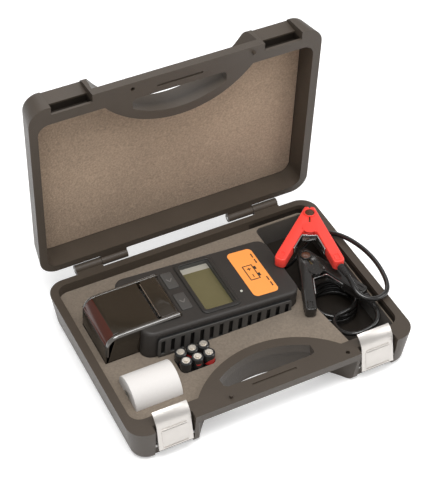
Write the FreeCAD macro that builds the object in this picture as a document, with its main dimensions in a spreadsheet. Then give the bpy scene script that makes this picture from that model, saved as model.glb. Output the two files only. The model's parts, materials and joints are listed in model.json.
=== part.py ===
"""Printing battery tester in its moulded carry case, with spare roll, cells and clamp leads.

Millimetres, +Z up. The origin is the centre of the case's bottom face, X runs along the
case's width, the handle side is at -Y and the hinge side at +Y. The lid stands open.
"""
import FreeCAD, Part
import math
import os

Vector = FreeCAD.Vector

SIZES = {
    "case_width": 360, "case_depth": 261, "base_height": 50, "lid_height": 38,
    "case_wall": 2.8, "draft_inset": 6, "corner_radius": 22, "edge_radius": 9,
    "side_land": 10, "back_land": 9, "front_land": 24, "cavity_radius": 14,
    "handle_depth": 24, "handle_thick": 12, "grip_centre": 51, "grip_radius": 114, "grip_wall": 4,
    "hole_radius": 106, "hole_half_width": 58, "hole_corner": 6,
    "groove_half_length": 28, "groove_width": 3, "groove_depth": 1.5, "groove_setback": 14.5,
    "peg_setback": 9, "peg_left": 57.5, "peg_right": 91.5, "peg_radius": 2.2, "peg_height": 4,
    "peg_clearance": 0.4,
    "latch_offset": 129, "latch_width": 42, "latch_recess_width": 48, "latch_recess_depth": 10.8,
    "latch_thick": 2.2, "latch_bottom": 16, "latch_knee": "=base_height - 2", "latch_lean": 6, "latch_hook_radius": 19,
    "latch_hook_angle": 61, "latch_pin_setback": 6, "latch_pin_height": 20, "latch_pin_radius": 1.5,
    "latch_lug_radius": 3.4, "catch_low": 3, "catch_high": 17, "catch_setback": 22,
    "hinge_offset": 103, "hinge_length": 69, "hinge_back": 9, "knuckle_radius": 5.5,
    "hinge_pin_radius": 2, "running_gap": 0.05, "knuckle_gap": 0.5, "lid_open_angle": 86,
    "foam_drop": 13, "foam_gap": 0.3, "lid_foam_thick": 6,
    "paper_width": 57.5, "spare_roll_radius": 25, "core_radius": 9, "core_wall": 2.2,
    "tester_setback": 161,
    "spare_roll_left": 156, "spare_roll_setback": "=tester_setback - 89.5", "spare_roll_drop": 15,
    "cell_radius": 7.1, "cell_length": 49, "cell_nub_radius": 2.7, "cell_nub_height": 1.5,
    "cell_shoulder": 1, "cell_pitch": 14.5, "cells_left": 79.3, "cells_setback": "=tester_setback - 81.4",
    "pocket_gap": 0.4,
    "bay_front": 26, "bay_right": 168.5, "bay_left_front": 109, "bay_left_back": 96,
    "bay_bend": 130, "bay_corner": 8, "bay_back_land": 12,
    "tester_x": -20, "tester_rise": 17.5, "tester_tilt": 4.6,
    "body_left": 94, "body_right": 108, "body_half_width": 50, "body_thick": 50, "body_split": 24,
    "body_corner": 14, "body_bevel": 4, "body_wall": 2.5,
    "grip_thick": 4, "grip_low": 36, "grip_high": 7, "grip_slots": 14, "grip_slot_pitch": 12.4,
    "grip_slot_width": 5, "grip_slot_depth": 2.6, "grip_slot_height": 20,
    "printer_left": 136, "printer_right": 42, "printer_half_width": 35, "printer_cheek": 2.7,
    "printer_top": 5.5, "printer_gap": 0.3, "printer_deck": 17, "nose_length": 18, "nose_drop": 13,
    "cover_right": 71, "cover_thick": 2.5, "cover_proud": 0.8, "cover_hinge_left": 134,
    "cover_hinge_drop": 14, "cover_knuckle": 2.8, "cover_pin_radius": 1.2,
    "bezel_left": 66.5, "bezel_shoulder": 5,
    "roll_bay_left": 123, "roll_bay_right": 79, "roll_radius": 19, "roll_left": 101, "roll_drop": 27,
    "platen_left": 73.5, "platen_drop": 5, "platen_radius": 4, "platen_shaft": 1.3,
    "platen_length": 56, "platen_ear": 2,
    "head_depth": 2.6, "head_low": 9, "head_high": 2, "head_length": 52,
    "tear_width": 1.6, "tear_low": 1, "tear_high": 3.4, "tear_teeth": 26,
    "screen_left": 13, "screen_right": 27, "screen_front": 38, "screen_back": 41, "screen_drop": 5,
    "screen_corner": 3, "frame_wall": 1.2, "glass_thick": 1,
    "key_left": 38, "key_width": 14, "key_length": 27, "key_proud": 1.2, "key_depth": 4.8,
    "key_travel": 1, "key_gap": 0.3, "key_corner": 2, "key_front": 27, "key_back": 10,
    "lamp_right": 40.5, "lamp_front": 24, "lamp_radius": 1.6, "lamp_proud": 0.5,
    "label_left": 51, "label_width": 33, "label_length": 78, "label_thick": 0.8, "label_corner": 6,
    "label_proud": 0.2, "board_left": 36, "board_right": 100, "board_half_width": 43,
    "board_thick": 1.6, "board_drop": 15, "post_radius": 3, "post_inset": 6,
    "door_left": 36, "door_right": 96, "door_half_width": 45.5, "door_thick": 2, "door_gap": 0.25,
    "outlet_front": 18, "outlet_back": 19, "outlet_drop": 30, "boot_radius": 5.2, "boot_length": 11,
    "boot_ribs": 4, "lead_radius": 3,
    "clamp_thick": 14, "jaw_length": 38, "jaw_half": 6, "tail_length": 54, "clamp_slope": 0.4,
    "leg_width": 14, "jaw_gap": 0.8, "crotch": 6, "leg_round": 5, "lug_radius": 7.5, "lug_gap": 0.3,
    "ear_inner": 3.6, "clamp_pin_radius": 2, "disc_radius": 9, "disc_height": 0.8,
    "plate_thick": 0.6, "plate_start": 10, "spring_thick": 1.4, "spring_half_height": 5,
    "spring_gap": 0.5, "spring_crown": 10, "spring_end": 34,
    "black_x": 123.5, "black_setback": 141, "black_heading": 89, "black_rise": -5.7,
    "red_x": 139.6, "red_setback": 187.8, "red_heading": 61, "red_rise": 16.9,
    "clamp_boot_length": 17, "clamp_boot_start": 2.2,
    "coil_x": 134, "coil_setback": 112, "coil_radius": 27, "coil_turns": 2.5, "coil_low": 6.1,
    "coil_high": 25.9,
}

doc = FreeCAD.newDocument("battery_tester_kit")
sheet = doc.addObject("Spreadsheet::Sheet", "Sizes")
for row, (alias, value) in enumerate(SIZES.items(), 1):
    sheet.set("A%d" % row, alias)
    sheet.set("B%d" % row, str(value))
    sheet.setAlias("B%d" % row, alias)
doc.recompute()
nodes = []


def size(alias):
    """A driving dimension as a number, read from the sheet."""
    return float(sheet.get(alias))


def bind(thing, **expressions):
    """Tie properties of a document object to the sheet; a double underscore stands for a dot."""
    for prop, text in expressions.items():
        thing.setExpression(prop.replace("__", "."), str(text))
    return thing


def node(thing, label):
    """Name a finished sub-part; the label is its file's name."""
    thing.Label = label
    nodes.append(thing)
    return thing


def box(x, y, z, dx, dy, dz):
    """A block from its low corner and its sides, all as expressions."""
    thing = doc.addObject("Part::Box", "block")
    return bind(thing, Length=dx, Width=dy, Height=dz, Placement__Base__x=x, Placement__Base__y=y,
                Placement__Base__z=z)


def cylinder(radius, length, x, y, z, axis="z"):
    """A round bar that starts at a point and runs along +X, +Y or +Z."""
    thing = doc.addObject("Part::Cylinder", "bar")
    turn = {"x": (Vector(0, 1, 0), 90), "y": (Vector(1, 0, 0), -90), "z": (Vector(0, 0, 1), 0)}[axis]
    thing.Placement = FreeCAD.Placement(Vector(), FreeCAD.Rotation(*turn))
    return bind(thing, Radius=radius, Height=length, Placement__Base__x=x, Placement__Base__y=y,
                Placement__Base__z=z)


def fuse(*parts):
    """One solid from several that overlap."""
    thing = doc.addObject("Part::MultiFuse", "joined")
    thing.Shapes = list(parts)
    thing.Refine = True
    return thing


def cut(base, *tools):
    """A part with others taken away from it."""
    thing = doc.addObject("Part::Cut", "cut")
    thing.Base = base
    thing.Tool = tools[0] if len(tools) == 1 else fuse(*tools)
    thing.Refine = True
    return thing


def feature(shape):
    """A part whose shape is worked out here from the sheet."""
    thing = doc.addObject("Part::Feature", "form")
    thing.Shape = shape
    return thing


def group(*parts):
    """Separate solids that share one node."""
    thing = doc.addObject("Part::Compound", "group")
    thing.Links = list(parts)
    return thing


def outline(points):
    """Lines and arcs through points (x, y) or (x, y, corner radius), closed."""
    runs = []
    count = len(points)
    for i, point in enumerate(points):
        here = Vector(point[0], point[1])
        radius = point[2] if len(point) > 2 else 0
        if not radius:
            runs.append((here, None, here))
            continue
        back = Vector(*points[i - 1][:2]) - here
        ahead = Vector(*points[(i + 1) % count][:2]) - here
        half = back.getAngle(ahead) / 2
        back.normalize()
        ahead.normalize()
        middle = back + ahead
        middle.normalize()
        reach = radius / math.tan(half)
        bend = here + middle * (radius / math.sin(half) - radius)
        runs.append((here + back * reach, bend, here + ahead * reach))
    edges = []
    for i, (start, bend, end) in enumerate(runs):
        if bend:
            edges.append(Part.Arc(start, bend, end))
        following = runs[(i + 1) % count][0]
        if (following - end).Length > 1e-6:
            edges.append(Part.LineSegment(end, following))
    return edges


def rounded(x0, y0, x1, y1, radius):
    """A rectangle with rounded corners."""
    return outline([(x0, y0, radius), (x1, y0, radius), (x1, y1, radius), (x0, y1, radius)])


def wire(edges, height=0):
    """An outline as a wire at a height."""
    made = Part.Wire([edge.toShape() for edge in edges])
    made.translate(Vector(0, 0, height))
    return made


def pad(edges, height, low=0, facing="z"):
    """A body padded from an outline: in XY towards +Z, or in XZ or YZ, centred on its plane."""
    body = doc.addObject("PartDesign::Body", "padded")
    role = {"z": "XY_Plane", "y": "XZ_Plane", "x": "YZ_Plane"}[facing]
    sketch = body.newObject("Sketcher::SketchObject", "outline")
    sketch.AttachmentSupport = [(part, "") for part in body.Origin.OriginFeatures if part.Role == role]
    sketch.MapMode = "FlatFace"
    sketch.addGeometry(edges, False)
    raised = body.newObject("PartDesign::Pad", "pad")
    raised.Profile = sketch
    if facing != "z":
        raised.SideType = "Symmetric"
    bind(raised, Length=height)
    if facing == "z":
        bind(body, Placement__Base__z=low)
    return body


def place(thing, placement):
    """Move a finished part as a whole; one whose place is tied to the sheet is moved inside a group."""
    moved = group(thing) if thing.ExpressionEngine else thing
    moved.Placement = placement.multiply(moved.Placement)
    return moved


half_width = size("case_width") / 2
half_depth = size("case_depth") / 2
front = -half_depth
rim = size("base_height")
lid_top = rim + size("lid_height")


def setback(distance):
    """Y of a point at a distance behind the case's front edge."""
    return front + distance


# Case halves


def case_outline(inset):
    """The case's plan outline, drawn in by an inset."""
    radius = size("corner_radius") - inset / 2
    return rounded(inset - half_width, inset - half_depth, half_width - inset, half_depth - inset, radius)


def case_block(rim_height, far_height):
    """A drafted block with a rounded far edge, from the rim to the base's floor or the lid's top."""
    block = Part.makeLoft([wire(case_outline(0), rim_height),
                           wire(case_outline(size("draft_inset")), far_height)], True, True)
    edges = [edge for edge in block.Edges
             if all(abs(corner.Z - far_height) < 1e-6 for corner in edge.Vertexes)]
    return block.makeFillet(size("edge_radius"), edges)


def cavity_edges(gap):
    """The hollow's plan outline, less a gap."""
    side = half_width - size("side_land") - gap
    return rounded(-side, setback(size("front_land")) + gap, side,
                   half_depth - size("back_land") - gap, size("cavity_radius"))


def finger_hole():
    """The handle's D-shaped opening: straight along the bar, arched behind it."""
    edge = size("hole_half_width")
    near = setback(size("handle_depth"))
    centre = setback(-size("grip_centre"))
    corner = centre + math.sqrt(size("hole_radius") ** 2 - edge ** 2)
    low = near + size("hole_corner")
    start = Vector(-edge, near, 0)
    return [Part.LineSegment(Vector(-edge + size("hole_corner"), near), Vector(edge - size("hole_corner"), near)),
            Part.Arc(Vector(edge - size("hole_corner"), near),
                     Vector(edge - size("hole_corner") * (1 - math.sqrt(0.5)),
                            near + size("hole_corner") * (1 - math.sqrt(0.5))), Vector(edge, low)),
            Part.LineSegment(Vector(edge, low), Vector(edge, corner)),
            Part.Arc(Vector(edge, corner), Vector(0, centre + size("hole_radius")), Vector(-edge, corner)),
            Part.LineSegment(Vector(-edge, corner), Vector(start.x, low)),
            Part.Arc(Vector(start.x, low), Vector(-edge + size("hole_corner") * (1 - math.sqrt(0.5)),
                     near + size("hole_corner") * (1 - math.sqrt(0.5))),
                     Vector(-edge + size("hole_corner"), near))]


HALF_WIDTH = "Sizes.case_width / 2"
FRONT = "-Sizes.case_depth / 2"
HINGE_Y = "Sizes.case_depth / 2 + Sizes.hinge_back"


def case_half(block_low, hollow_low, hollow_height, undercut_low, undercut_height, slab_low):
    """A case half: drafted block, hollow with a wall round the grip, grip undercut, hole, latch recesses."""
    block = feature(block_low)
    hollow = cut(pad(cavity_edges(0), hollow_height, hollow_low),
                 cylinder("Sizes.grip_radius + Sizes.grip_wall", hollow_height, 0,
                          FRONT + " - Sizes.grip_centre", hollow_low))
    undercut = cylinder("Sizes.grip_radius", undercut_height, 0, FRONT + " - Sizes.grip_centre", undercut_low)
    hole = pad(finger_hole(), "Sizes.handle_thick + 2", slab_low + " - 1")
    tools = [hollow, undercut, hole]
    for side in ("-", ""):
        tools.append(box("%sSizes.latch_offset - Sizes.latch_recess_width / 2" % side, FRONT + " - 1", -1,
                         "Sizes.latch_recess_width", "Sizes.latch_recess_depth + 1",
                         "Sizes.base_height + Sizes.lid_height + 2"))
    return cut(block, *tools)


def knuckles(outer, web_low):
    """Two hinge knuckles with their webs; the base has the outer halves and the lid the inner ones."""
    parts = []
    half = "(Sizes.hinge_length / 2 - Sizes.knuckle_gap)"
    for side in (-1, 1):
        grows = (side > 0) == outer
        middle = "%d * Sizes.hinge_offset" % side
        low = middle + (" + Sizes.knuckle_gap / 2" if grows else " - Sizes.knuckle_gap / 2 - " + half)
        parts.append(cylinder("Sizes.knuckle_radius", half, low, HINGE_Y, "Sizes.base_height", "x"))
        parts.append(box(low, "Sizes.case_depth / 2 - 2", web_low, half, "Sizes.hinge_back + 2",
                         "Sizes.knuckle_radius"))
    return parts


def hinge_bores():
    """The bores of the two hinges."""
    return [cylinder("Sizes.hinge_pin_radius + Sizes.running_gap", "Sizes.hinge_length",
                     "%d * Sizes.hinge_offset - Sizes.hinge_length / 2" % side, HINGE_Y,
                     "Sizes.base_height", "x") for side in (-1, 1)]


def peg(side, low):
    """An alignment peg on the handle bar, or the socket for the other half's peg."""
    return cylinder("Sizes.peg_radius", "Sizes.peg_height", side, FRONT + " + Sizes.peg_setback", low)


def socket(side, low):
    return cylinder("Sizes.peg_radius + Sizes.peg_clearance", "Sizes.peg_height + Sizes.peg_clearance + 1",
                    side, FRONT + " + Sizes.peg_setback", low)


def groove(low):
    """The straight groove cut in the bar's meeting face."""
    return box("-Sizes.groove_half_length", FRONT + " + Sizes.groove_setback - Sizes.groove_width / 2", low,
               "2 * Sizes.groove_half_length", "Sizes.groove_width", "2 * Sizes.groove_depth")


base_body = case_half(case_block(rim, 0), "Sizes.case_wall", "Sizes.base_height", "-1",
                      "Sizes.base_height - Sizes.handle_thick + 1",
                      "Sizes.base_height - Sizes.handle_thick")
base_shell = cut(fuse(base_body, peg("-Sizes.peg_left", "Sizes.base_height"),
                      *knuckles(True, "Sizes.base_height - Sizes.knuckle_radius")),
                 socket("Sizes.peg_right", "Sizes.base_height - Sizes.peg_height - Sizes.peg_clearance"),
                 groove("Sizes.base_height - Sizes.groove_depth"), *hinge_bores())
node(base_shell, "base_shell")

CATCH_Z = "Sizes.base_height + Sizes.catch_low"
lid_body = case_half(case_block(rim, lid_top), "0",
                     "Sizes.base_height + Sizes.lid_height - Sizes.case_wall",
                     "Sizes.base_height + Sizes.handle_thick", "Sizes.lid_height", "Sizes.base_height")
catches = [box("%sSizes.latch_offset - Sizes.latch_recess_width / 2" % side, FRONT, CATCH_Z,
               "Sizes.latch_recess_width", "Sizes.catch_setback", "Sizes.catch_high - Sizes.catch_low")
           for side in ("-", "")]
lid_shell = cut(fuse(lid_body, peg("Sizes.peg_right", "Sizes.base_height - Sizes.peg_height"),
                     *knuckles(False, "Sizes.base_height")),
                socket("-Sizes.peg_left", "Sizes.base_height - 1"),
                groove("Sizes.base_height - Sizes.groove_depth"), *catches, *hinge_bores())
lid_foam_low = "Sizes.base_height + Sizes.lid_height - Sizes.case_wall - Sizes.lid_foam_thick"
lid_foam = cut(pad(cavity_edges(size("foam_gap")), "Sizes.lid_foam_thick", lid_foam_low),
               cylinder("Sizes.grip_radius + Sizes.grip_wall + Sizes.foam_gap", "Sizes.lid_height * 2", 0,
                        FRONT + " - Sizes.grip_centre", "Sizes.base_height"))
hinge_point = Vector(0, half_depth + size("hinge_back"), rim)
lid_open = FreeCAD.Placement(Vector(), FreeCAD.Rotation(Vector(-1, 0, 0), size("lid_open_angle")), hinge_point)
node(place(lid_shell, lid_open), "lid_shell")
node(place(lid_foam, lid_open), "lid_foam")

hinge_pins = [cylinder("Sizes.hinge_pin_radius", "Sizes.hinge_length",
                       "%d * Sizes.hinge_offset - Sizes.hinge_length / 2" % side, HINGE_Y,
                       "Sizes.base_height", "x") for side in (-1, 1)]
node(group(*hinge_pins), "hinge_pins")

# Latches


def latch_profile():
    """The plate's section in YZ: a leaning plate that curls inwards over the rim into a hook."""
    thick = size("latch_thick")
    lean = math.atan2(size("latch_lean"), size("latch_knee") - size("latch_bottom"))
    low = Vector(setback(0), size("latch_bottom"))
    knee = low + Vector(size("latch_lean"), size("latch_knee") - size("latch_bottom"))
    across = Vector(math.cos(lean), -math.sin(lean))
    radius = size("latch_hook_radius")
    centre = knee + across * radius
    turn = math.radians(size("latch_hook_angle"))

    def curl(reach, angle):
        start = math.pi - lean
        return centre + Vector(math.cos(start - angle), math.sin(start - angle)) * reach
    inner = radius - thick
    return [Part.LineSegment(low, knee), Part.Arc(knee, curl(radius, turn / 2), curl(radius, turn)),
            Part.LineSegment(curl(radius, turn), curl(inner, turn)),
            Part.Arc(curl(inner, turn), curl(inner, turn / 2), curl(inner, 0)),
            Part.LineSegment(curl(inner, 0), low + across * thick),
            Part.LineSegment(low + across * thick, low)]


PIN_Y = FRONT + " + Sizes.latch_pin_setback"
latch_pins = []
for label, side in (("latch_left", "-"), ("latch_right", "")):
    middle = side + "Sizes.latch_offset"
    plate = bind(pad(latch_profile(), "Sizes.latch_width", facing="x"), Placement__Base__x=middle)
    start = middle + " - Sizes.latch_width / 2"
    lug = cylinder("Sizes.latch_lug_radius", "Sizes.latch_width", start, PIN_Y, "Sizes.latch_pin_height", "x")
    web = box(start, FRONT + " + Sizes.latch_thick", "Sizes.latch_pin_height - Sizes.latch_lug_radius",
              "Sizes.latch_width", "Sizes.latch_pin_setback - Sizes.latch_thick", "Sizes.latch_lug_radius")
    bore = cylinder("Sizes.latch_pin_radius + Sizes.running_gap", "Sizes.latch_recess_width",
                    middle + " - Sizes.latch_recess_width / 2", PIN_Y, "Sizes.latch_pin_height", "x")
    node(cut(fuse(plate, lug, web), bore), label)
    latch_pins.append(cylinder("Sizes.latch_pin_radius", "Sizes.latch_recess_width",
                               middle + " - Sizes.latch_recess_width / 2", PIN_Y,
                               "Sizes.latch_pin_height", "x"))
node(group(*latch_pins), "latch_pins")

# Tester, built in its own tilted frame: u along X, v along Y, top face at zero height

tester = FreeCAD.Placement(Vector(size("tester_x"), setback(size("tester_setback")), rim + size("tester_rise")),
                           FreeCAD.Rotation(Vector(0, 1, 0), size("tester_tilt")))
BODY_LOW = "-Sizes.body_thick"


def body_edges(inset=0, spread=0):
    """The tester body's plan outline, drawn in or spread out."""
    side = size("body_half_width") - inset + spread
    return rounded(inset - spread - size("body_left"), -side, size("body_right") - inset + spread, side,
                   size("body_corner") - inset)


def seated(thing, label):
    """A tester piece moved from the tester's frame to its place in the case."""
    return node(place(thing, tester), label)


def slab(u0, v0, w0, u1, v1, w1):
    """A block in the tester's frame between two corners, as expressions."""
    return box(u0, v0, w0, "(%s) - (%s)" % (u1, u0), "(%s) - (%s)" % (v1, v0), "(%s) - (%s)" % (w1, w0))


def printer_space(gap):
    """The space the printer takes out of the body."""
    return slab("-Sizes.printer_left - 20", "-Sizes.printer_half_width - %g" % gap, "-Sizes.body_thick - 1",
                "-Sizes.printer_right + %g" % gap, "Sizes.printer_half_width + %g" % gap, 40)


def inside(low, high):
    """The body's hollow to the right of the printer."""
    wall = size("body_wall")
    return pad(rounded(wall - size("printer_right"), wall - size("body_half_width"),
                       size("body_right") - wall, size("body_half_width") - wall,
                       size("body_corner") - wall), "(%s) - (%s)" % (high, low), low)


gap = size("printer_gap")
door_edges = rounded(size("door_left"), -size("door_half_width"), size("door_right"),
                     size("door_half_width"), size("key_corner"))
door_hole = rounded(size("door_left") - size("door_gap"), -size("door_half_width") - size("door_gap"),
                    size("door_right") + size("door_gap"), size("door_half_width") + size("door_gap"),
                    size("key_corner"))
FLOOR = "-Sizes.body_thick + Sizes.body_wall"
posts = [cylinder("Sizes.post_radius", "Sizes.body_thick - Sizes.body_wall - Sizes.board_drop", u, v, FLOOR)
         for u in ("-Sizes.board_left + Sizes.post_inset", "Sizes.door_left - Sizes.post_inset",
                   "Sizes.board_right - Sizes.post_radius + 0.5")
         for v in ("-Sizes.board_half_width + Sizes.post_radius", "Sizes.board_half_width - Sizes.post_radius")]
lower = cut(pad(body_edges(), "Sizes.body_thick - Sizes.body_split", BODY_LOW),
            inside(FLOOR, "0"), printer_space(gap), pad(door_hole, "Sizes.body_wall + 2", BODY_LOW + " - 1"))
seated(fuse(lower, *posts), "tester_lower_housing")
seated(pad(door_edges, "Sizes.door_thick", BODY_LOW), "battery_door")


def key_edges(front_edge, spread=0):
    """One key's outline."""
    left = -size("key_left") - spread
    return rounded(left, front_edge - spread, left + size("key_width") + 2 * spread,
                   front_edge + size("key_length") + spread, size("key_corner"))


key_fronts = (("key_front", -size("key_front")), ("key_back", size("key_back")))
screen_edges = rounded(-size("screen_left"), -size("screen_front"), size("screen_right"),
                       size("screen_back"), size("screen_corner"))
label_edges = rounded(size("label_left"), -size("label_length") / 2,
                      size("label_left") + size("label_width"), size("label_length") / 2,
                      size("label_corner"))
block = Part.Face(wire(body_edges(), -size("body_split"))).extrude(Vector(0, 0, size("body_split")))
crown = [edge for edge in block.Edges if all(abs(corner.Z) < 1e-6 for corner in edge.Vertexes)]
upper = cut(feature(block.makeFillet(size("body_bevel"), crown)),
            inside("-Sizes.body_split - 1", "-Sizes.body_wall"), printer_space(gap),
            pad(screen_edges, "Sizes.body_thick", "-Sizes.body_split"),
            pad(label_edges, "Sizes.label_thick + 5", "-Sizes.label_thick"),
            cylinder("Sizes.lamp_radius", "Sizes.body_split", "Sizes.lamp_right", "-Sizes.lamp_front",
                     "-Sizes.body_split / 2"),
            *[pad(key_edges(place_v, size("key_gap")), "Sizes.body_thick", "-Sizes.body_split")
              for name, place_v in key_fronts])
seated(upper, "tester_upper_housing")
seated(pad(label_edges, "Sizes.label_thick + Sizes.label_proud", "-Sizes.label_thick"), "label_plate")
seated(cylinder("Sizes.lamp_radius", "Sizes.board_drop + Sizes.lamp_proud",
                "Sizes.lamp_right", "-Sizes.lamp_front", "-Sizes.board_drop"), "indicator_lamp")
for name, place_v in key_fronts:
    seated(pad(key_edges(place_v), "Sizes.key_depth + Sizes.key_proud", "-Sizes.key_depth"), name)

# Display, key mat, board and cells inside the body

frame_inner = rounded(size("frame_wall") - size("screen_left"), size("frame_wall") - size("screen_front"),
                      size("screen_right") - size("frame_wall"), size("screen_back") - size("frame_wall"), 2)
seated(cut(pad(screen_edges, "Sizes.screen_drop - 0.2", "-Sizes.screen_drop"),
           pad(frame_inner, "Sizes.screen_drop + 2", "-Sizes.screen_drop - 1")), "display_frame")
GLASS_LOW = "-Sizes.screen_drop - Sizes.glass_thick"
seated(pad(screen_edges, "Sizes.glass_thick", GLASS_LOW), "display_glass")
seated(slab("-Sizes.screen_left", "-Sizes.screen_front", "-Sizes.board_drop + Sizes.board_thick",
            "Sizes.screen_right", "Sizes.screen_back", GLASS_LOW), "display_module")
MAT_HIGH = "-Sizes.key_depth - Sizes.key_travel - 0.2"
seated(slab("-Sizes.key_left - 1", "-Sizes.key_front - 2", "-Sizes.board_drop + Sizes.board_thick",
            "-Sizes.key_left + Sizes.key_width + 3", "Sizes.key_back + Sizes.key_length + 2", MAT_HIGH), "key_mat")
board = slab("-Sizes.board_left", "-Sizes.board_half_width", "-Sizes.board_drop", "Sizes.board_right",
             "Sizes.board_half_width", "-Sizes.board_drop + Sizes.board_thick")
lamp_hole = cylinder("Sizes.lamp_radius", "Sizes.body_split", "Sizes.lamp_right", "-Sizes.lamp_front",
                     "-Sizes.body_split")
seated(cut(board, lamp_hole), "circuit_board")
CELL_LOW = "-Sizes.body_thick + Sizes.door_thick + Sizes.door_gap"
cells = [cylinder("Sizes.cell_radius", "Sizes.cell_length", "Sizes.door_left + 4",
                  "(%d - 2.5) * Sizes.cell_pitch" % i, CELL_LOW + " + Sizes.cell_radius", "x") for i in range(6)]
seated(group(*cells), "tester_cells")

# Printer

slope = math.tan(math.radians(size("tester_tilt")))


def crest(u):
    """Height of the printer's top over the body's top plane: level in the case, so it climbs to the right."""
    return size("printer_top") - slope * (-size("printer_right") - u)


def printer_section(proud, left, right, low):
    """The printer's side outline: flat top, rounded nose at the left."""
    nose = left + size("nose_length")
    return [Part.LineSegment(Vector(left, low), Vector(right, low)),
            Part.LineSegment(Vector(right, low), Vector(right, crest(right) + proud)),
            Part.LineSegment(Vector(right, crest(right) + proud), Vector(nose, crest(nose) + proud)),
            Part.Arc(Vector(nose, crest(nose) + proud),
                     Vector(left + size("nose_length") * 0.27, crest(nose) + proud - size("nose_drop") * 0.33),
                     Vector(left, crest(nose) + proud - size("nose_drop"))),
            Part.LineSegment(Vector(left, crest(nose) + proud - size("nose_drop")), Vector(left, low))]


CHEEK = "Sizes.printer_half_width - Sizes.printer_cheek"
PIN_DROP = "-Sizes.cover_hinge_drop"
tub = cut(pad(printer_section(0, -size("printer_left"), -size("printer_right"), -size("body_thick")),
              "2 * Sizes.printer_half_width", facing="y"),
          slab("-Sizes.printer_left - 1", "-(%s)" % CHEEK, "-Sizes.printer_deck", "-Sizes.printer_right + 1",
               CHEEK, 40),
          slab("-Sizes.roll_bay_left", "-Sizes.paper_width / 2 - Sizes.printer_gap",
               "-Sizes.roll_drop - Sizes.roll_radius - Sizes.printer_gap", "-Sizes.roll_bay_right",
               "Sizes.paper_width / 2 + Sizes.printer_gap", 0),
          slab("-Sizes.printer_left - 1", "-(%s)" % CHEEK,
               "-Sizes.cover_hinge_drop - Sizes.cover_knuckle - 1", "-Sizes.roll_bay_left - 3", CHEEK, 40),
          cylinder("Sizes.cover_pin_radius", "2 * Sizes.printer_half_width", "-Sizes.cover_hinge_left",
                   "-Sizes.printer_half_width", PIN_DROP, "y"))
seated(tub, "printer_tub")
seated(cylinder("Sizes.cover_pin_radius", "2 * Sizes.printer_half_width", "-Sizes.cover_hinge_left",
                "-Sizes.printer_half_width", PIN_DROP, "y"), "cover_hinge_pin")

COVER_WIDTH = "2 * (%s) - 2 * Sizes.printer_gap" % CHEEK
outer = pad(printer_section(size("cover_proud"), -size("printer_left"), -size("cover_right"),
                            -size("cover_hinge_drop")), COVER_WIDTH, facing="y")
inner = pad(printer_section(size("cover_proud") - size("cover_thick"),
                            size("cover_thick") - size("printer_left"), 0, -size("body_thick")),
            "2 * Sizes.printer_half_width", facing="y")
EAR = "Sizes.platen_length / 2 + Sizes.printer_gap"
ears = [slab("-Sizes.platen_left - Sizes.platen_radius", v, "-Sizes.platen_drop - 2.5 * Sizes.platen_shaft",
             "-Sizes.cover_right", "%s + Sizes.platen_ear" % v, "Sizes.printer_top - Sizes.cover_thick")
        for v in (EAR, "-(%s) - Sizes.platen_ear" % EAR)]
knuckle = cylinder("Sizes.cover_knuckle", COVER_WIDTH, "-Sizes.cover_hinge_left", "-(%s) / 2" % COVER_WIDTH,
                   PIN_DROP, "y")
cover_bore = cylinder("Sizes.cover_pin_radius + Sizes.running_gap", COVER_WIDTH, "-Sizes.cover_hinge_left",
                      "-(%s) / 2" % COVER_WIDTH, PIN_DROP, "y")
platen_bore = cylinder("Sizes.platen_shaft + Sizes.running_gap", "2 * Sizes.printer_half_width",
                       "-Sizes.platen_left", "-Sizes.printer_half_width", "-Sizes.platen_drop", "y")
seated(cut(fuse(cut(outer, inner), knuckle, *ears), cover_bore, platen_bore), "printer_cover")
roller = cylinder("Sizes.platen_radius", "Sizes.platen_length", "-Sizes.platen_left",
                  "-Sizes.platen_length / 2", "-Sizes.platen_drop", "y")
SHAFT = "Sizes.platen_length + 2 * Sizes.platen_ear + 2 * Sizes.printer_gap"
shaft = cylinder("Sizes.platen_shaft", SHAFT, "-Sizes.platen_left", "-(%s) / 2" % SHAFT,
                 "-Sizes.platen_drop", "y")
bore = cylinder("Sizes.platen_shaft", "Sizes.platen_length", "-Sizes.platen_left",
                "-Sizes.platen_length / 2", "-Sizes.platen_drop", "y")
seated(cut(roller, bore), "platen_roller")
seated(shaft, "platen_shaft")

bezel_section = outline([(-size("bezel_left"), -size("printer_deck")),
                         (-size("printer_right"), -size("printer_deck")),
                         (-size("printer_right"), crest(-size("printer_right")) - size("bezel_shoulder")),
                         (-size("printer_right") - size("bezel_shoulder"),
                          crest(-size("printer_right")) + size("cover_proud"), size("bezel_shoulder")),
                         (-size("bezel_left"), crest(-size("bezel_left")) + size("cover_proud"))])
seated(pad(bezel_section, COVER_WIDTH, facing="y"), "printer_bezel")
seated(slab("-Sizes.bezel_left - Sizes.head_depth", "-Sizes.head_length / 2", "-Sizes.head_low",
            "-Sizes.bezel_left", "Sizes.head_length / 2", "-Sizes.head_high"), "print_head")
teeth = size("tear_teeth")
step = size("paper_width") / teeth
comb = [(-size("bezel_left"), -size("paper_width") / 2)]
comb += [(-size("bezel_left"), size("paper_width") / 2)]
for i in range(int(teeth)):
    high = size("paper_width") / 2 - i * step
    comb += [(-size("bezel_left") - size("tear_width") / 2, high),
             (-size("bezel_left") - size("tear_width"), high - step / 2)]
comb += [(-size("bezel_left") - size("tear_width") / 2, -size("paper_width") / 2)]
seated(pad(outline(comb), "Sizes.tear_high - Sizes.tear_low", "Sizes.tear_low"), "tear_bar")
paper = cut(cylinder("Sizes.roll_radius", "Sizes.paper_width", "-Sizes.roll_left", "-Sizes.paper_width / 2",
                     "-Sizes.roll_drop", "y"),
            cylinder("Sizes.core_radius", "Sizes.paper_width", "-Sizes.roll_left", "-Sizes.paper_width / 2",
                     "-Sizes.roll_drop", "y"))
seated(paper, "printer_paper_roll")

# Side grips with a row of slots, and the lead outlets


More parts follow.
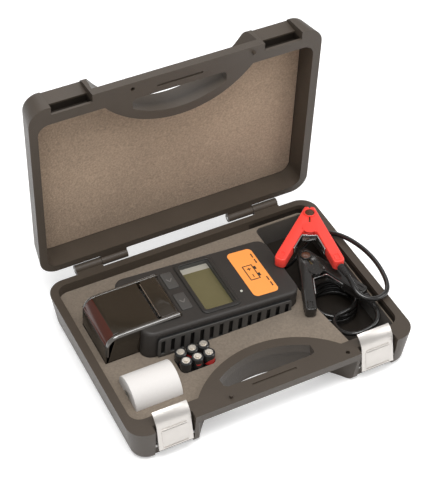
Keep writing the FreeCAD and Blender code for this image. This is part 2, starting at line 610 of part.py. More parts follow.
def side_grip(side):
    """A ribbed rubber strip along one side of the body."""
    side_v = "%d * Sizes.body_half_width" % side
    low_v = side_v if side > 0 else side_v + " - Sizes.grip_thick"
    strip = pad(rounded(-size("body_left") + size("body_corner"), -size("grip_low"),
                        size("body_right") - size("body_corner"), -size("grip_high"), 5),
                "Sizes.grip_thick", facing="y")
    bind(strip, Placement__Base__y=low_v + " + Sizes.grip_thick / 2")
    middle = "(Sizes.body_right - Sizes.body_left) / 2"
    slot_v = side_v + (" + Sizes.grip_thick - Sizes.grip_slot_depth" if side > 0 else " - Sizes.grip_thick - 1")
    slots = [box("%s + (%d - (%g - 1) / 2) * Sizes.grip_slot_pitch - Sizes.grip_slot_width / 2"
                 % (middle, i, size("grip_slots")), slot_v,
                 "-(Sizes.grip_low + Sizes.grip_high + Sizes.grip_slot_height) / 2",
                 "Sizes.grip_slot_width", "Sizes.grip_slot_depth + 1", "Sizes.grip_slot_height")
             for i in range(int(size("grip_slots")))]
    return cut(strip, *slots)


seated(side_grip(-1), "side_grip_front")
seated(side_grip(1), "side_grip_back")


def ribbed_boot(length, radius, ribs):
    """A strain relief along +Z: a tapering sleeve with rings."""
    pitch = length / ribs
    points = [(0, 0), (radius, 0)]
    for i in range(ribs):
        taper = radius - (radius - size("lead_radius") - 0.6) * i / ribs
        points += [(taper, (i + 0.55) * pitch), (taper - 0.9, (i + 0.6) * pitch), (taper - 0.9, (i + 0.95) * pitch)]
    points += [(points[-1][0], length), (0, length)]
    face = Part.Face(Part.makePolygon([Vector(r, 0, z) for r, z in points + points[:1]]))
    return face.revolve(Vector(), Vector(0, 0, 1), 360)


def pointed(shape, start, direction):
    """A form made along +Z, moved to a start and turned to a direction."""
    made = feature(shape)
    made.Placement = FreeCAD.Placement(start, FreeCAD.Rotation(Vector(0, 0, 1), direction))
    return made


boots = [pointed(ribbed_boot(size("boot_length"), size("boot_radius"), int(size("boot_ribs"))),
                 Vector(size("body_right"), v, -size("outlet_drop")), Vector(1, 0, 0))
         for v in (-size("outlet_front"), size("outlet_back"))]
seated(group(*boots), "tester_lead_boots")

# Foam tray with its pockets

bay_edges = outline([(size("bay_left_front"), setback(size("bay_front")), size("bay_corner")),
                     (size("bay_right"), setback(size("bay_front")), size("bay_corner")),
                     (size("bay_right"), half_depth - size("bay_back_land"), size("bay_corner")),
                     (size("bay_left_back"), half_depth - size("bay_back_land"), size("bay_corner")),
                     (size("bay_left_back"), setback(size("bay_bend")))])
clear = size("pocket_gap")
tester_pocket = place(pad(body_edges(0, clear), "Sizes.body_thick + 60",
                          "-Sizes.body_thick - Sizes.foam_gap"), tester)
grip_pocket = place(slab("-Sizes.body_left + Sizes.body_corner - Sizes.pocket_gap",
                         "-Sizes.body_half_width - Sizes.grip_thick - Sizes.pocket_gap",
                         "-Sizes.grip_low - Sizes.pocket_gap",
                         "Sizes.body_right - Sizes.body_corner + Sizes.pocket_gap",
                         "Sizes.body_half_width + Sizes.grip_thick + Sizes.pocket_gap", 60), tester)
printer_pocket = place(slab("-Sizes.printer_left - Sizes.pocket_gap",
                            "-Sizes.printer_half_width - Sizes.pocket_gap",
                            "-Sizes.body_thick - Sizes.foam_gap", 0,
                            "Sizes.printer_half_width + Sizes.pocket_gap", 60), tester)
boot_channel = place(slab("Sizes.body_right - 1", "-Sizes.outlet_front - Sizes.boot_radius - 1",
                          "-Sizes.outlet_drop - Sizes.boot_radius - 1",
                          "Sizes.body_right + Sizes.boot_length + 4",
                          "Sizes.outlet_back + Sizes.boot_radius + 1", 60), tester)
ROLL_Z = "Sizes.base_height - Sizes.spare_roll_drop"
ROLL_Y = FRONT + " + Sizes.spare_roll_setback"
roll_pocket = cylinder("Sizes.spare_roll_radius + Sizes.foam_gap", "Sizes.paper_width + 2 * Sizes.foam_gap",
                       "-Sizes.spare_roll_left - Sizes.foam_gap", ROLL_Y, ROLL_Z, "x")
cell_reach = size("cell_radius") + size("pocket_gap")
cell_v = setback(size("cells_setback"))
cell_pocket = pad(rounded(-size("cells_left") - cell_reach, cell_v - cell_reach,
                          -size("cells_left") + 2 * size("cell_pitch") + cell_reach,
                          cell_v + size("cell_pitch") + cell_reach, size("cell_radius")),
                  "Sizes.base_height", "Sizes.case_wall")
foam = cut(pad(cavity_edges(size("foam_gap")), "Sizes.base_height - Sizes.foam_drop - Sizes.case_wall",
               "Sizes.case_wall"),
           cylinder("Sizes.grip_radius + Sizes.grip_wall + Sizes.foam_gap", "2 * Sizes.base_height", 0,
                    FRONT + " - Sizes.grip_centre", "-Sizes.base_height / 2"),
           pad(bay_edges, "Sizes.base_height", "0"), tester_pocket, grip_pocket, printer_pocket,
           boot_channel, roll_pocket, cell_pocket)
node(foam, "base_foam")

spare = cut(cylinder("Sizes.spare_roll_radius", "Sizes.paper_width", "-Sizes.spare_roll_left", ROLL_Y, ROLL_Z, "x"),
            cylinder("Sizes.core_radius", "Sizes.paper_width", "-Sizes.spare_roll_left", ROLL_Y, ROLL_Z, "x"))
node(spare, "spare_paper_roll")
core = cut(cylinder("Sizes.core_radius", "Sizes.paper_width", "-Sizes.spare_roll_left", ROLL_Y, ROLL_Z, "x"),
           cylinder("Sizes.core_radius - Sizes.core_wall", "Sizes.paper_width", "-Sizes.spare_roll_left",
                    ROLL_Y, ROLL_Z, "x"))
node(core, "spare_roll_core")


def cell():
    """A standing cell: can, shoulder and nub, turned from one profile."""
    can = size("cell_length") - size("cell_nub_height")
    shoulder = size("cell_shoulder")
    radius = size("cell_radius")
    nub = size("cell_nub_radius")
    points = [(0, 0), (radius - shoulder / 2, 0), (radius, shoulder / 2), (radius, can - shoulder),
              (radius - shoulder, can), (nub, can), (nub, size("cell_length")), (0, size("cell_length"))]
    face = Part.Face(Part.makePolygon([Vector(r, 0, z) for r, z in points + points[:1]]))
    return face.revolve(Vector(), Vector(0, 0, 1), 360)


stand = [pointed(cell(), Vector(-size("cells_left") + i * size("cell_pitch"),
                                cell_v + j * size("cell_pitch"), size("case_wall")), Vector(0, 0, 1))
         for j in range(2) for i in range(3)]
node(group(*stand), "spare_cells")

# Clamps: two arms that turn on a pin, a leaf spring in the crotch


class Clamp:
    """A clamp lying on its side; along runs to the jaw's tip, across to its left."""

    def __init__(self, name):
        self.name = name
        self.along = FreeCAD.Rotation(Vector(0, 0, 1), size(name + "_heading"))
        self.base = Vector(size(name + "_x"), setback(size(name + "_setback")), rim + size(name + "_rise"))
        self.placement = FreeCAD.Placement(self.base, self.along)

    def edge(self, u):
        """How far the outer edge stands from the centre line."""
        return size("jaw_half") + (size("jaw_length") - u) * size("clamp_slope")

    def leg_end(self):
        """The leg's outer and inner end corners, on the left arm."""
        lean = math.atan(size("clamp_slope"))
        outer_end = Vector(-size("tail_length"), self.edge(-size("tail_length")))
        return outer_end, outer_end - Vector(math.sin(lean), math.cos(lean)) * size("leg_width")

    def arm(self, side):
        """One arm's outline; side is 1 for the left arm."""
        outer_end, inner_end = self.leg_end()
        crotch = -size("crotch")
        face = inner_end.y - (crotch - inner_end.x) * size("clamp_slope")
        gap = size("jaw_gap")
        points = [(size("jaw_length"), gap), (size("jaw_length"), size("jaw_half"), 3),
                  (outer_end.x, outer_end.y, size("leg_round")), (inner_end.x, inner_end.y, size("leg_round")),
                  (crotch, face, 2), (crotch, gap)]
        points = [(p[0], side * p[1]) + tuple(p[2:]) for p in points]
        thick = size("clamp_thick")
        plan = pad(outline(points), "Sizes.clamp_thick", "-Sizes.clamp_thick / 2")
        lug = "Sizes.lug_radius"
        ear = "Sizes.ear_inner"
        middle = (0, 0, "-%s + Sizes.lug_gap" % ear)
        inner_lug = cylinder(lug, "2 * %s - 2 * Sizes.lug_gap" % ear, *middle)
        ears = [cylinder(lug, "Sizes.clamp_thick / 2 - %s" % ear, 0, 0, low)
                for low in (ear, "-Sizes.clamp_thick / 2")]
        room = lug + " + Sizes.lug_gap"
        if side < 0:
            clear = [cylinder(room, "2 * %s" % ear, 0, 0, "-%s" % ear)]
            bore = cylinder("Sizes.clamp_pin_radius", 2 * thick, 0, 0, -thick)
            return cut(fuse(cut(plan, *clear), *ears), bore)
        clear = [cylinder(room, "Sizes.clamp_thick", 0, 0, ear + " - Sizes.lug_gap"),
                 cylinder(room, "Sizes.clamp_thick", 0, 0, "-%s - Sizes.clamp_thick + Sizes.lug_gap" % ear)]
        bore = cylinder("Sizes.clamp_pin_radius + Sizes.running_gap", 2 * thick, 0, 0, -thick)
        return cut(fuse(cut(plan, *clear), inner_lug), bore)

    def spring_edges(self):
        """A bent leaf: a crown across the crotch and a leg along each arm's inner face."""
        outer_end, inner_end = self.leg_end()

        def face(u):
            return inner_end.y - (u - inner_end.x) * size("clamp_slope") - size("spring_gap")
        crown = -size("spring_crown")
        end = -size("spring_end")
        thick = size("spring_thick")
        return outline([(end, face(end)), (crown, face(crown), 3), (crown, -face(crown), 3), (end, -face(end)),
                        (end, -face(end) + thick), (crown - thick, -face(crown - thick) + thick, 2),
                        (crown - thick, face(crown - thick) - thick, 2), (end, face(end) - thick)])

    def build(self):
        """Every piece of the clamp, seated in the case."""
        node(place(self.arm(-1), self.placement), self.name + "_clamp_fixed_arm")
        node(place(self.arm(1), self.placement), self.name + "_clamp_moving_arm")
        pin = fuse(cylinder("Sizes.clamp_pin_radius", "Sizes.clamp_thick", 0, 0, "-Sizes.clamp_thick / 2"),
                   cylinder("Sizes.disc_radius", "Sizes.disc_height", 0, 0, "Sizes.clamp_thick / 2"))
        node(place(pin, self.placement), self.name + "_clamp_pin")
        spring = pad(self.spring_edges(), "2 * Sizes.spring_half_height", "-Sizes.spring_half_height")
        node(place(spring, self.placement), self.name + "_clamp_spring")
        plate = slab("Sizes.plate_start", "-Sizes.jaw_gap", "-Sizes.spring_half_height", "Sizes.jaw_length - 1",
                     "-Sizes.jaw_gap + Sizes.plate_thick", "Sizes.spring_half_height")
        node(place(plate, self.placement), self.name + "_contact_plate")

    def fixed_end(self):
        """The middle of the fixed arm's leg end, in the case's frame."""
        outer_end, inner_end = self.leg_end()
        middle = (outer_end + inner_end) * 0.5
        return self.placement.multVec(Vector(middle.x, -middle.y, 0))


black = Clamp("black")
red = Clamp("red")
black.build()
red.build()
towards_front = Vector(0, -1, 0)
lead_starts = {}
for clamp in (black, red):
    start = clamp.fixed_end() + towards_front * size("clamp_boot_start")
    boot = ribbed_boot(size("clamp_boot_length"), size("boot_radius") - 0.6, 5)
    node(pointed(boot, start, towards_front), clamp.name + "_lead_boot")
    lead_starts[clamp.name] = start + towards_front * size("clamp_boot_length")

# Leads: routes as points (x, distance behind the front edge, height over the rim)

tester_ends = {}
for name, v in (("black", -size("outlet_front")), ("red", size("outlet_back"))):
    tester_ends[name] = tester.multVec(Vector(size("body_right") + size("boot_length"), v, -size("outlet_drop")))


def route_point(x, behind, height):
    return Vector(x, setback(behind), rim + height)


def lead(points, label):
    """A round lead along straight runs joined by tangent arcs as large as the runs allow."""
    edges = []
    radii = []
    last = points[0]
    for before, here, after in zip(points, points[1:], points[2:]):
        back = before - here
        ahead = after - here
        shorter = min(back.Length, ahead.Length)
        turn = math.pi - back.getAngle(ahead)
        reach = 0.45 * shorter
        radius = reach / math.tan(turn / 2)
        radii.append(radius)
        back.normalize()
        ahead.normalize()
        middle = back + ahead
        middle.normalize()
        half = (math.pi - turn) / 2
        bend = here + middle * (radius / math.sin(half) - radius)
        edges.append(Part.LineSegment(last, here + back * reach).toShape())
        edges.append(Part.Arc(here + back * reach, bend, here + ahead * reach).toShape())
        last = here + ahead * reach
    edges.append(Part.LineSegment(last, points[-1]).toShape())
    tube = sweep(edges, points[1] - points[0])
    print(label, "radii", [round(r, 1) for r in radii])
    return node(feature(tube), label)


def sweep(edges, direction):
    """A tube of the lead's radius along a path, with its volume compared to section times length."""
    path = Part.Wire(edges)
    start = edges[0].valueAt(edges[0].FirstParameter)
    section = Part.Wire(Part.makeCircle(size("lead_radius"), start, direction))
    tube = path.makePipeShell([section], True, False)
    wanted = math.pi * size("lead_radius") ** 2 * path.Length
    print("tube volume over section times length: %.4f" % (tube.Volume / wanted))
    return tube


def coil_point(turn):
    """A point of the coil after some turns, from its front at the top to its back at the floor."""
    angle = math.radians(270 + 360 * turn)
    fall = (size("coil_high") - size("coil_low")) * turn / size("coil_turns")
    return Vector(size("coil_x") + size("coil_radius") * math.cos(angle),
                  setback(size("coil_setback")) + size("coil_radius") * math.sin(angle), size("coil_high") - fall)


def coil():
    """The stowed loops: one unbroken tube, a quarter turn at a time."""
    quarters = int(size("coil_turns") * 4)
    edges = [Part.Arc(coil_point(i / 4), coil_point((i + 0.5) / 4), coil_point((i + 1) / 4)).toShape()
             for i in range(quarters)]
    pitch = (size("coil_high") - size("coil_low")) / size("coil_turns")
    print("coil's least gap to itself: %.2f" % (pitch - 2 * size("lead_radius")))
    first = edges[0].tangentAt(edges[0].FirstParameter)
    return sweep(edges, first)


node(feature(coil()), "black_lead_coil")
black_route = [(158.8, 53.6, -6.5), (153.3, 44, -8), (143.8, 38.5, -10), (126, 38.5, -13.5), (113.5, 46, -16.5),
               (108.3, 60, -19), (111.5, 75, -21.5), (120.5, 83.2, -23.3)]
red_route = [(143.2, 89, 15.4), (142, 76.9, 11.5), (149.4, 65.3, 8), (163, 60.9, 6.6), (176.6, 65.3, 6.6),
             (185, 76.9, 6.9), (190, 97, 7.2), (191.7, 120, 7.4), (189, 144, 7.3), (181, 168, 6.9),
             (169, 188, 4), (153, 199, -6), (135, 194.5, -15.5), (119, 186, -20.7), (107.5, 181, -22.4)]
lead([lead_starts["black"]] + [route_point(*point) for point in black_route] + [coil_point(0)], "black_lead")
finish = coil_point(size("coil_turns"))
lead([finish, finish + Vector(-15, 0.4, 0.9), route_point(106, 141.8, -31.5), tester_ends["black"]],
     "black_lead_tail")
lead([lead_starts["red"]] + [route_point(*point) for point in red_route] + [tester_ends["red"]], "red_lead")

doc.recompute()
for thing in doc.Objects:
    if "Invalid" in thing.State or "Error" in thing.State:
        raise RuntimeError("%s (%s) failed to build" % (thing.Label, thing.Name))
os.makedirs("parts", exist_ok=True)
for thing in nodes:
    if thing.Shape.isNull() or not thing.Shape.isValid():
        raise RuntimeError(thing.Label + " has no valid shape")
    thing.Shape.exportStep("parts/%s.step" % thing.Label)
print(len(nodes), "sub-parts")
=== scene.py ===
"""Looks of the printing battery tester kit: finishes, soft edges, printed marks, leads and stage.

Sizes and places are in millimetres unless a comment says otherwise. The frame is the case's own: X along its
width, the handle side at -Y, +Z up, with the origin in the middle of the bottom face.
"""
import json
import math

import bpy
from mathutils import Matrix, Vector

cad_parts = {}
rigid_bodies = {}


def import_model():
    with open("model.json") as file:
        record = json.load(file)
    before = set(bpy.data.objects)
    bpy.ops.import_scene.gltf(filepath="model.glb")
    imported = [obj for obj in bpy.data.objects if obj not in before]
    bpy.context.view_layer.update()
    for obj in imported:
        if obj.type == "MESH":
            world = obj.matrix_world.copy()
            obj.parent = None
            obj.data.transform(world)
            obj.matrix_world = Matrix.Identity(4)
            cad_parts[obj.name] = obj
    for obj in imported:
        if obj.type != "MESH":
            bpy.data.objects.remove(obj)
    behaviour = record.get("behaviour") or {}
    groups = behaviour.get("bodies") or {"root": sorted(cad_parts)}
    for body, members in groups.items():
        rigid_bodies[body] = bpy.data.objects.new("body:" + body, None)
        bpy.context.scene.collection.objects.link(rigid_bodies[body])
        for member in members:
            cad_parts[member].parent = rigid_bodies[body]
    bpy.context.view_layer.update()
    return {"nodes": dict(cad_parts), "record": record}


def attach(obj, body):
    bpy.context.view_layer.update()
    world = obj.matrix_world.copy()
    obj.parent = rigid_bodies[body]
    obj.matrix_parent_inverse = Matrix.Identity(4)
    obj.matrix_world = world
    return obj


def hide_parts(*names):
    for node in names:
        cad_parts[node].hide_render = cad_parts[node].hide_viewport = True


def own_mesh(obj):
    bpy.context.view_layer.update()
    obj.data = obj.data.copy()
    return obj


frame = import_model()

bl_info = {
    "name": "Battery tester kit",
    "version": (1, 0, 0),
    "blender": (4, 5, 0),
    "location": "View3D > Sidebar > Tester kit",
    "description": "Dresses the battery tester kit in its carry case",
    "category": "Object",
}

BODY_OF = {name: body for body, names in frame["record"]["behaviour"]["bodies"].items() for name in names}

MM = 0.001

# Rounding and smoothing
MERGE_GAP = 0.01
WELD_GAP = 0.02
FLAT_ANGLE = math.radians(0.8)
SMOOTH_ANGLE = math.radians(35)
SHARP_ANGLE = math.radians(40)
CORNER_STEPS = 6
RING_STEPS = 40

# Case
FRONT = -130.5
RIM = 50.0
TRAY_TOP = 37.0
# Depth under the tray's top where the foam's painted shade begins
POCKET_DROP = 1.5
# How dark the painted shade is, as a share of the colour, in the lead bay, the lid's latch pockets and the
# foam's pockets
PAINTED_SHADE_TONE = 0.3
# Box of the case's lead bay, where the plastic gets painted shade
BAY = {"X": (90.0, 171.5), "Y": (-109.0, 122.5), "Z": (1.5, 44.0)}

# Latches, and the lid's pockets that their hooks go into
LATCH_X = 129.0
LATCH_LEAN = math.atan2(6.0, 32.0)
LATCH_EDGE = 0.5
PANEL_Y = -127.7
PANEL_Z = 31.0
PANEL_SIDES = (32.0, 1.2, 22.0)
PANEL_EDGE = 0.45
RIDGE_SIDES = (30.0, 1.4, 1.6)
RIDGE_EDGE = 0.4
RIDGE_PROUD = 0.3
RIDGE_HEIGHTS = (-13.2, 13.0)
# Boxes of the lid's latch pockets: painted shade, which also stands for their dark catch bars
CATCH_HALF = 25.0
CATCHES = [{"X": (side * LATCH_X - CATCH_HALF, side * LATCH_X + CATCH_HALF), "Y": (123.5, 141.0),
            "Z": (296.0, 307.5)} for side in (-1, 1)]

# Tester, in its own leaning frame: u along X, v along Y, w above its top face
TESTER_ORIGIN = (-20.0, 30.5, 67.5)
TESTER_TILT = math.radians(4.6)
GRIP_EDGE = 0.5
# Where the grips' painted slot shade begins, across the tester
GRIP_FLOOR_FRONT = -22.6
GRIP_FLOOR_BACK = 83.6
KEY_EDGE = 0.6
HOOD_OUTER = (-17.5, -43.0, 32.0, 46.0, 7.0)
HOOD_INNER = (-12.6, -37.6, 26.6, 40.6, 3.0)
HOOD_HIGH = 2.6
HOOD_EDGE = 0.7
HOOD_RISE = 0.6
# Where the screen's band of painted light begins, on Y
SCREEN_BAND = 61.5

# Marks: strokes on the label as (u, v, width, length), and the two arms of the arrow on a key
BATTERY_SIGN = [(72, 0, 1.2, 24), (60, 0, 1.2, 24), (66, 12, 13.2, 1.2), (66, -12, 13.2, 1.2),
                (74, 6, 2.6, 5), (74, -6, 2.6, 5), (66, 6, 5, 1.1), (66, 6, 1.1, 5), (66, -6, 1.1, 5)]
LABEL_BARS = [(80, v, 1.6, 7) for v in (-26, -16, 16, 26)]
MARK_RISE = 0.2
MARK_EDGE = 0.1
KEY_MIDDLES = {"key_front": -13.5, "key_back": 23.5}
KEY_U = -31.0
KEY_RISE = 1.2
ARROW_WIDTH = 1.2
ARROW_LENGTH = 6.0
ARROW_ARMS = ((-1.8, 0.6), (1.8, -0.6))

# Printer: the rims' path as (u, w) on the tester
COVER_EDGE = 0.8
TUB_EDGE = 1.0
BEZEL_EDGE = 0.9
COVER_NOSE = -146.0
PRINTER_RIM = [(-135, -30), (-135, -18), (-134.5, -12.3), (-131.8, -7), (-126.5, -3.1), (-118, -1.5),
               (-90, 0.7), (-60, 3.1), (-45, 4.3)]
RIM_OFFSET = 34.5
RIM_HALF_WIDTH = 2.6
RIM_HALF_THICK = 1.3
RIM_LEAN = math.radians(28)
RIM_STEPS = 24

# Spares
ROLL_EDGE = 0.7
ROLL_AXIS = (0.0, -59.0, 35.0)
ROLL_LAYERS = 6000.0
CELL_PITCH = 14.5
CELL_FIRST = {"X": -79.3, "Y": -50.9}
CAP_RADIUS = 4.6
CAP_HEIGHT = 47.8
SLEEVE_PATCH = (36.0, 43.5)

# Clamps as (x, y and z of the pivot, heading in degrees), with u to the jaw's tip, v to its left and w up
CLAMPS = {"black": (123.5, 10.5, 44.3, 89.0), "red": (139.6, 57.3, 66.9, 61.0)}
CLAMP_SLOPE = 0.4
CLAMP_LEAN = math.atan(CLAMP_SLOPE)
JAW_LENGTH = 38.0
JAW_HALF = 6.0
ARM_EDGE = 1.3
SPRING_EDGE = 0.25
WINDOW_OUTER = (-6.0, -4.0, 6.0, 4.0, 2.0)
WINDOW_INNER = (-4.4, -2.4, 4.4, 2.4, 1.0)
WINDOW_AT = (-49.0, 33.0, 7.2)
WINDOW_HIGH = 1.6
WINDOW_EDGE = 0.3
DISC_U = 26.0
DISC_RADIUS = 5.6
DISC_HIGH = 1.6
DISC_EDGE = 0.5
DISC_RISE = 7.3
DISC_RIM_RADII = (7.2, 6.0)
DISC_RIM_HIGH = 2.2
DISC_RIM_EDGE = 0.4
DISC_RIM_RISE = 7.6
RIB_COUNT = 9
RIB_FIRST = -14.0
RIB_PITCH = 4.0
RIB_WIDTH = 1.8
RIB_DEPTH = 1.2
RIB_EDGE = 0.4

# Leads: diameter in metres, routes as (x, distance behind the front edge, height over the rim)
LEAD_DIAMETER = 0.006
LEAD_SMOOTHNESS = 8
LEAD_ROUNDNESS = 4
COIL_X = 134.0
COIL_Y = -18.5
COIL_RADIUS = 27.0
COIL_TOP = 25.9
COIL_BOTTOM = 6.1
COIL_TURNS = 2.5
COIL_START = 270.0
COIL_POINTS_PER_TURN = 16
BLACK_ROUTE = [(158.807, 64.575, -5.7), (158.8, 53.6, -6.5), (153.3, 44, -8), (143.8, 38.5, -10),
               (126, 38.5, -13.5), (113.5, 46, -16.5), (108.3, 60, -19), (111.5, 75, -21.5),
               (120.5, 83.2, -23.3)]
BLACK_TAIL = [(119, 139.4, -43.0), (106, 141.8, -31.5), (96.211, 143, -21.946)]
RED_ROUTE = [(143.909, 101.498, 16.9), (143.2, 89, 15.4), (142, 76.9, 11.5), (149.4, 65.3, 8),
             (163, 60.9, 6.6), (176.6, 65.3, 6.6), (185, 76.9, 6.9), (190, 97, 7.2), (191.7, 120, 7.4),
             (189, 144, 7.3), (181, 168, 6.9), (169, 188, 4), (153, 199, -6), (135, 194.5, -15.5),
             (119, 186, -20.7), (107.5, 181, -22.4), (96.211, 180, -21.946)]

# Stage, in metres and watts: lights as (name, place, power, width)
FLOOR_SIZE = 30.0
FLOOR_DROP = 0.0002
FLOOR_TONE = 0.86
FLOOR_GLOW = 0.36
WORLD_LIGHT = 0.5
WORLD_SEEN = 1.0
LIGHT_AIM = (0.0, 0.03, 0.06)
LIGHTS = (("key", (-0.4, -0.5, 1.9), 22.5, 0.9), ("strip", (0.35, -0.45, 1.85), 5.5, 0.5),
          ("fill", (1.3, -0.9, 1.2), 10.0, 1.0), ("back", (0.2, 1.3, 1.5), 6.0, 1.0))
CAMERA_LENS = 107.72
CAMERA_SENSOR = 36.0
CAMERA_AT = (-0.5274, -1.0308, 1.2801)
CAMERA_AIM = (0.03742, 0.11102, 0.05)


class KitColours(bpy.types.PropertyGroup):
    case: bpy.props.FloatVectorProperty(
        name="Case", description="Moulded case plastic", subtype="COLOR", default=(0.06, 0.0465, 0.035))
    lid_foam: bpy.props.FloatVectorProperty(
        name="Lid foam", description="Dimpled sheet in the lid", subtype="COLOR", default=(0.36, 0.26, 0.18))
    base_foam: bpy.props.FloatVectorProperty(
        name="Base foam", description="Cut foam tray", subtype="COLOR", default=(0.195, 0.157, 0.12))
    tester: bpy.props.FloatVectorProperty(
        name="Tester", description="Tester housing", subtype="COLOR", default=(0.036, 0.032, 0.029))
    label: bpy.props.FloatVectorProperty(
        name="Label", description="Printed label film", subtype="COLOR", default=(0.97, 0.35, 0.085))
    red_clamp: bpy.props.FloatVectorProperty(
        name="Red clamp", description="Red clamp arms", subtype="COLOR", default=(0.95, 0.068, 0.05))


class KitSizes(bpy.types.PropertyGroup):
    """Sizes of the added detail, in metres."""

    foam_edge: bpy.props.FloatProperty(
        name="Foam edge", description="Softened edge of the foam", unit="LENGTH", default=0.0009)
    mark_height: bpy.props.FloatProperty(
        name="Mark height", description="Printed marks' thickness", unit="LENGTH", default=0.0004)
    rib_length: bpy.props.FloatProperty(
        name="Rib length", description="Length of a grip rib on a clamp", unit="LENGTH", default=0.011)


class Wire:
    """A shader socket that takes part in Python arithmetic."""

    def __init__(self, shade, socket):
        self.shade = shade
        self.socket = socket

    def _math(self, operation, first, second):
        return self.shade.node("ShaderNodeMath", {"operation": operation}, {0: first, 1: second})

    def __add__(self, other):
        return self._math("ADD", self, other)

    def __sub__(self, other):
        return self._math("SUBTRACT", self, other)

    def __mul__(self, other):
        return self._math("MULTIPLY", self, other)

    def __gt__(self, other):
        return self._math("GREATER_THAN", self, other)

    def __lt__(self, other):
        return self._math("LESS_THAN", self, other)

    def __rsub__(self, other):
        return self._math("SUBTRACT", other, self)

    __radd__ = __add__
    __rmul__ = __mul__


class Shade:
    """One material and the nodes that make it."""

    def __init__(self, name):
        self.material = bpy.data.materials.new(name)
        self.material.use_nodes = True
        self.tree = self.material.node_tree
        self.shader = self.tree.nodes["Principled BSDF"]
        self.place = self.node("ShaderNodeTexCoord", {}, {}, "Object")

    def node(self, kind, settings, values, output=0):
        """Add a node: settings first, then the values or links of its sockets."""
        made = self.tree.nodes.new(kind)
        for key, value in settings.items():
            setattr(made, key, value)
        for key, value in values.items():
            self.feed(made.inputs[key], value)
        return Wire(self, made.outputs[output])

    def feed(self, socket, value):
        """Link a wire to a socket, or set the socket's own value."""
        if isinstance(value, Wire):
            self.tree.links.new(value.socket, socket)
        elif socket.type == "RGBA" and len(value) == 3:
            socket.default_value = (*value, 1.0)
        else:
            socket.default_value = value

    def set(self, **values):
        """Set the surface's own sockets; an underscore stands for a space."""
        for key, value in values.items():
            self.feed(self.shader.inputs[key.replace("_", " ")], value)

    def noise(self, scale, detail=3.0, stretch=(1, 1, 1)):
        """Soft noise from nought to one."""
        place = self.node("ShaderNodeMapping", {}, {"Vector": self.place, "Scale": stretch})
        return self.node("ShaderNodeTexNoise", {}, {"Vector": place, "Scale": scale, "Detail": detail})

    def cells(self, scale):
        """Distance from the middle of the nearest random cell."""
        return self.node("ShaderNodeTexVoronoi", {}, {"Vector": self.place, "Scale": scale}, "Distance")

    def axis(self, name):
        """One coordinate of the surface, in metres."""
        return self.node("ShaderNodeSeparateXYZ", {}, {0: self.place}, name)

    def within(self, box):
        """One inside a box of (low, high) pairs by axis, nought outside."""
        inside = 1.0
        for name, (low, high) in box.items():
            place = self.axis(name)
            inside = (place > low * MM) * (place < high * MM) * inside
        return inside

    def darken(self, where, factor):
        """Scale the colour that the surface already has, where a mask is one."""
        tone = 1.0 - where * (1.0 - factor)
        link = self.shader.inputs["Base Color"].links[0]
        self.set(Base_Color=self.node("ShaderNodeVectorMath", {"operation": "SCALE"},
                                      {0: Wire(self, link.from_socket), "Scale": tone}))

    def mix(self, factor, first, second):
        """The first colour where the factor is nought, the second where it is one."""
        return self.node("ShaderNodeMix", {"data_type": "RGBA"}, {0: factor, 6: first, 7: second}, 2)

    def bump(self, height, depth):
        """Relief of a given depth in metres."""
        values = {"Height": height, "Distance": depth, "Strength": 1.0}
        self.set(Normal=self.node("ShaderNodeBump", {}, values))


def toned(colour, factor):
    """A colour made darker or lighter."""
    return tuple(min(1.0, part * factor) for part in colour)


def moulded(name, colour, rough, grain=1400.0, depth=0.00012, tone=0.12, coat=0.0):
    """Moulded plastic or rubber: fine grain, cloudy tone and uneven gloss."""
    shade = Shade(name)
    cloud = shade.noise(28.0, detail=4.0)
    grains = shade.noise(grain, detail=2.0)
    shade.set(Base_Color=shade.mix(cloud, toned(colour, 1 - tone), toned(colour, 1 + tone)),
              Roughness=rough + (grains - 0.5) * 0.16 + (cloud - 0.5) * 0.12,
              Coat_Weight=coat, Coat_Roughness=0.08, Specular_IOR_Level=0.34)
    shade.bump(grains, depth)
    return shade


def foam_finish(name, colour, pore_scale, depth, contrast, floor):
    """Open foam: pores, dapples and no gloss, with painted shade in its pockets below the floor's height."""
    shade = Shade(name)
    pores = shade.cells(pore_scale)
    dapple = shade.noise(420.0, detail=6.0)
    cloud = shade.noise(14.0)
    tone = dapple * 1.1 + cloud * 0.35 - 0.22
    open_foam = shade.mix(tone, toned(colour, 1 - contrast), toned(colour, 1 + contrast))
    # Painted shade: below the floor's height the foam takes a darker copy of its colour
    shade.set(Base_Color=shade.mix(shade.axis("Z") < floor * MM, open_foam, toned(colour, PAINTED_SHADE_TONE)),
              Roughness=0.9 + (pores - 0.4) * 0.1, Sheen_Weight=0.15)
    shade.bump(pores * 0.6 + dapple * 0.8, depth)
    return shade


def metal(name, colour, rough, stretch, metallic=1.0):
    """Metal with a brushed direction."""
    shade = Shade(name)
    brush = shade.noise(900.0, detail=2.0, stretch=stretch)
    cloud = shade.noise(40.0)
    shade.set(Base_Color=shade.mix(cloud, toned(colour, 0.88), toned(colour, 1.08)),
              Roughness=rough + (brush - 0.5) * 0.2, Metallic=metallic)
    shade.bump(brush, 0.00004)
    return shade


def paint(thing, shade):
    """Give an object one material."""
    thing.data.materials.clear()
    thing.data.materials.append(shade.material)


def dress(shade, *names):
    """Give CAD nodes a finish."""
    for name in names:
        paint(frame["nodes"][name], shade)


def clear_selection():
    """Leave edit mode and select nothing."""
    if bpy.context.object and bpy.context.object.mode != "OBJECT":
        bpy.ops.object.mode_set(mode="OBJECT")
    bpy.ops.object.select_all(action="DESELECT")


def take(thing):
    """Make one object the only selected and active one."""
    clear_selection()
    thing.select_set(True)
    bpy.context.view_layer.objects.active = thing


def apply_place():
    """Put the active object's place and scale into its mesh."""
    bpy.ops.object.transform_apply(location=True, rotation=True, scale=True)


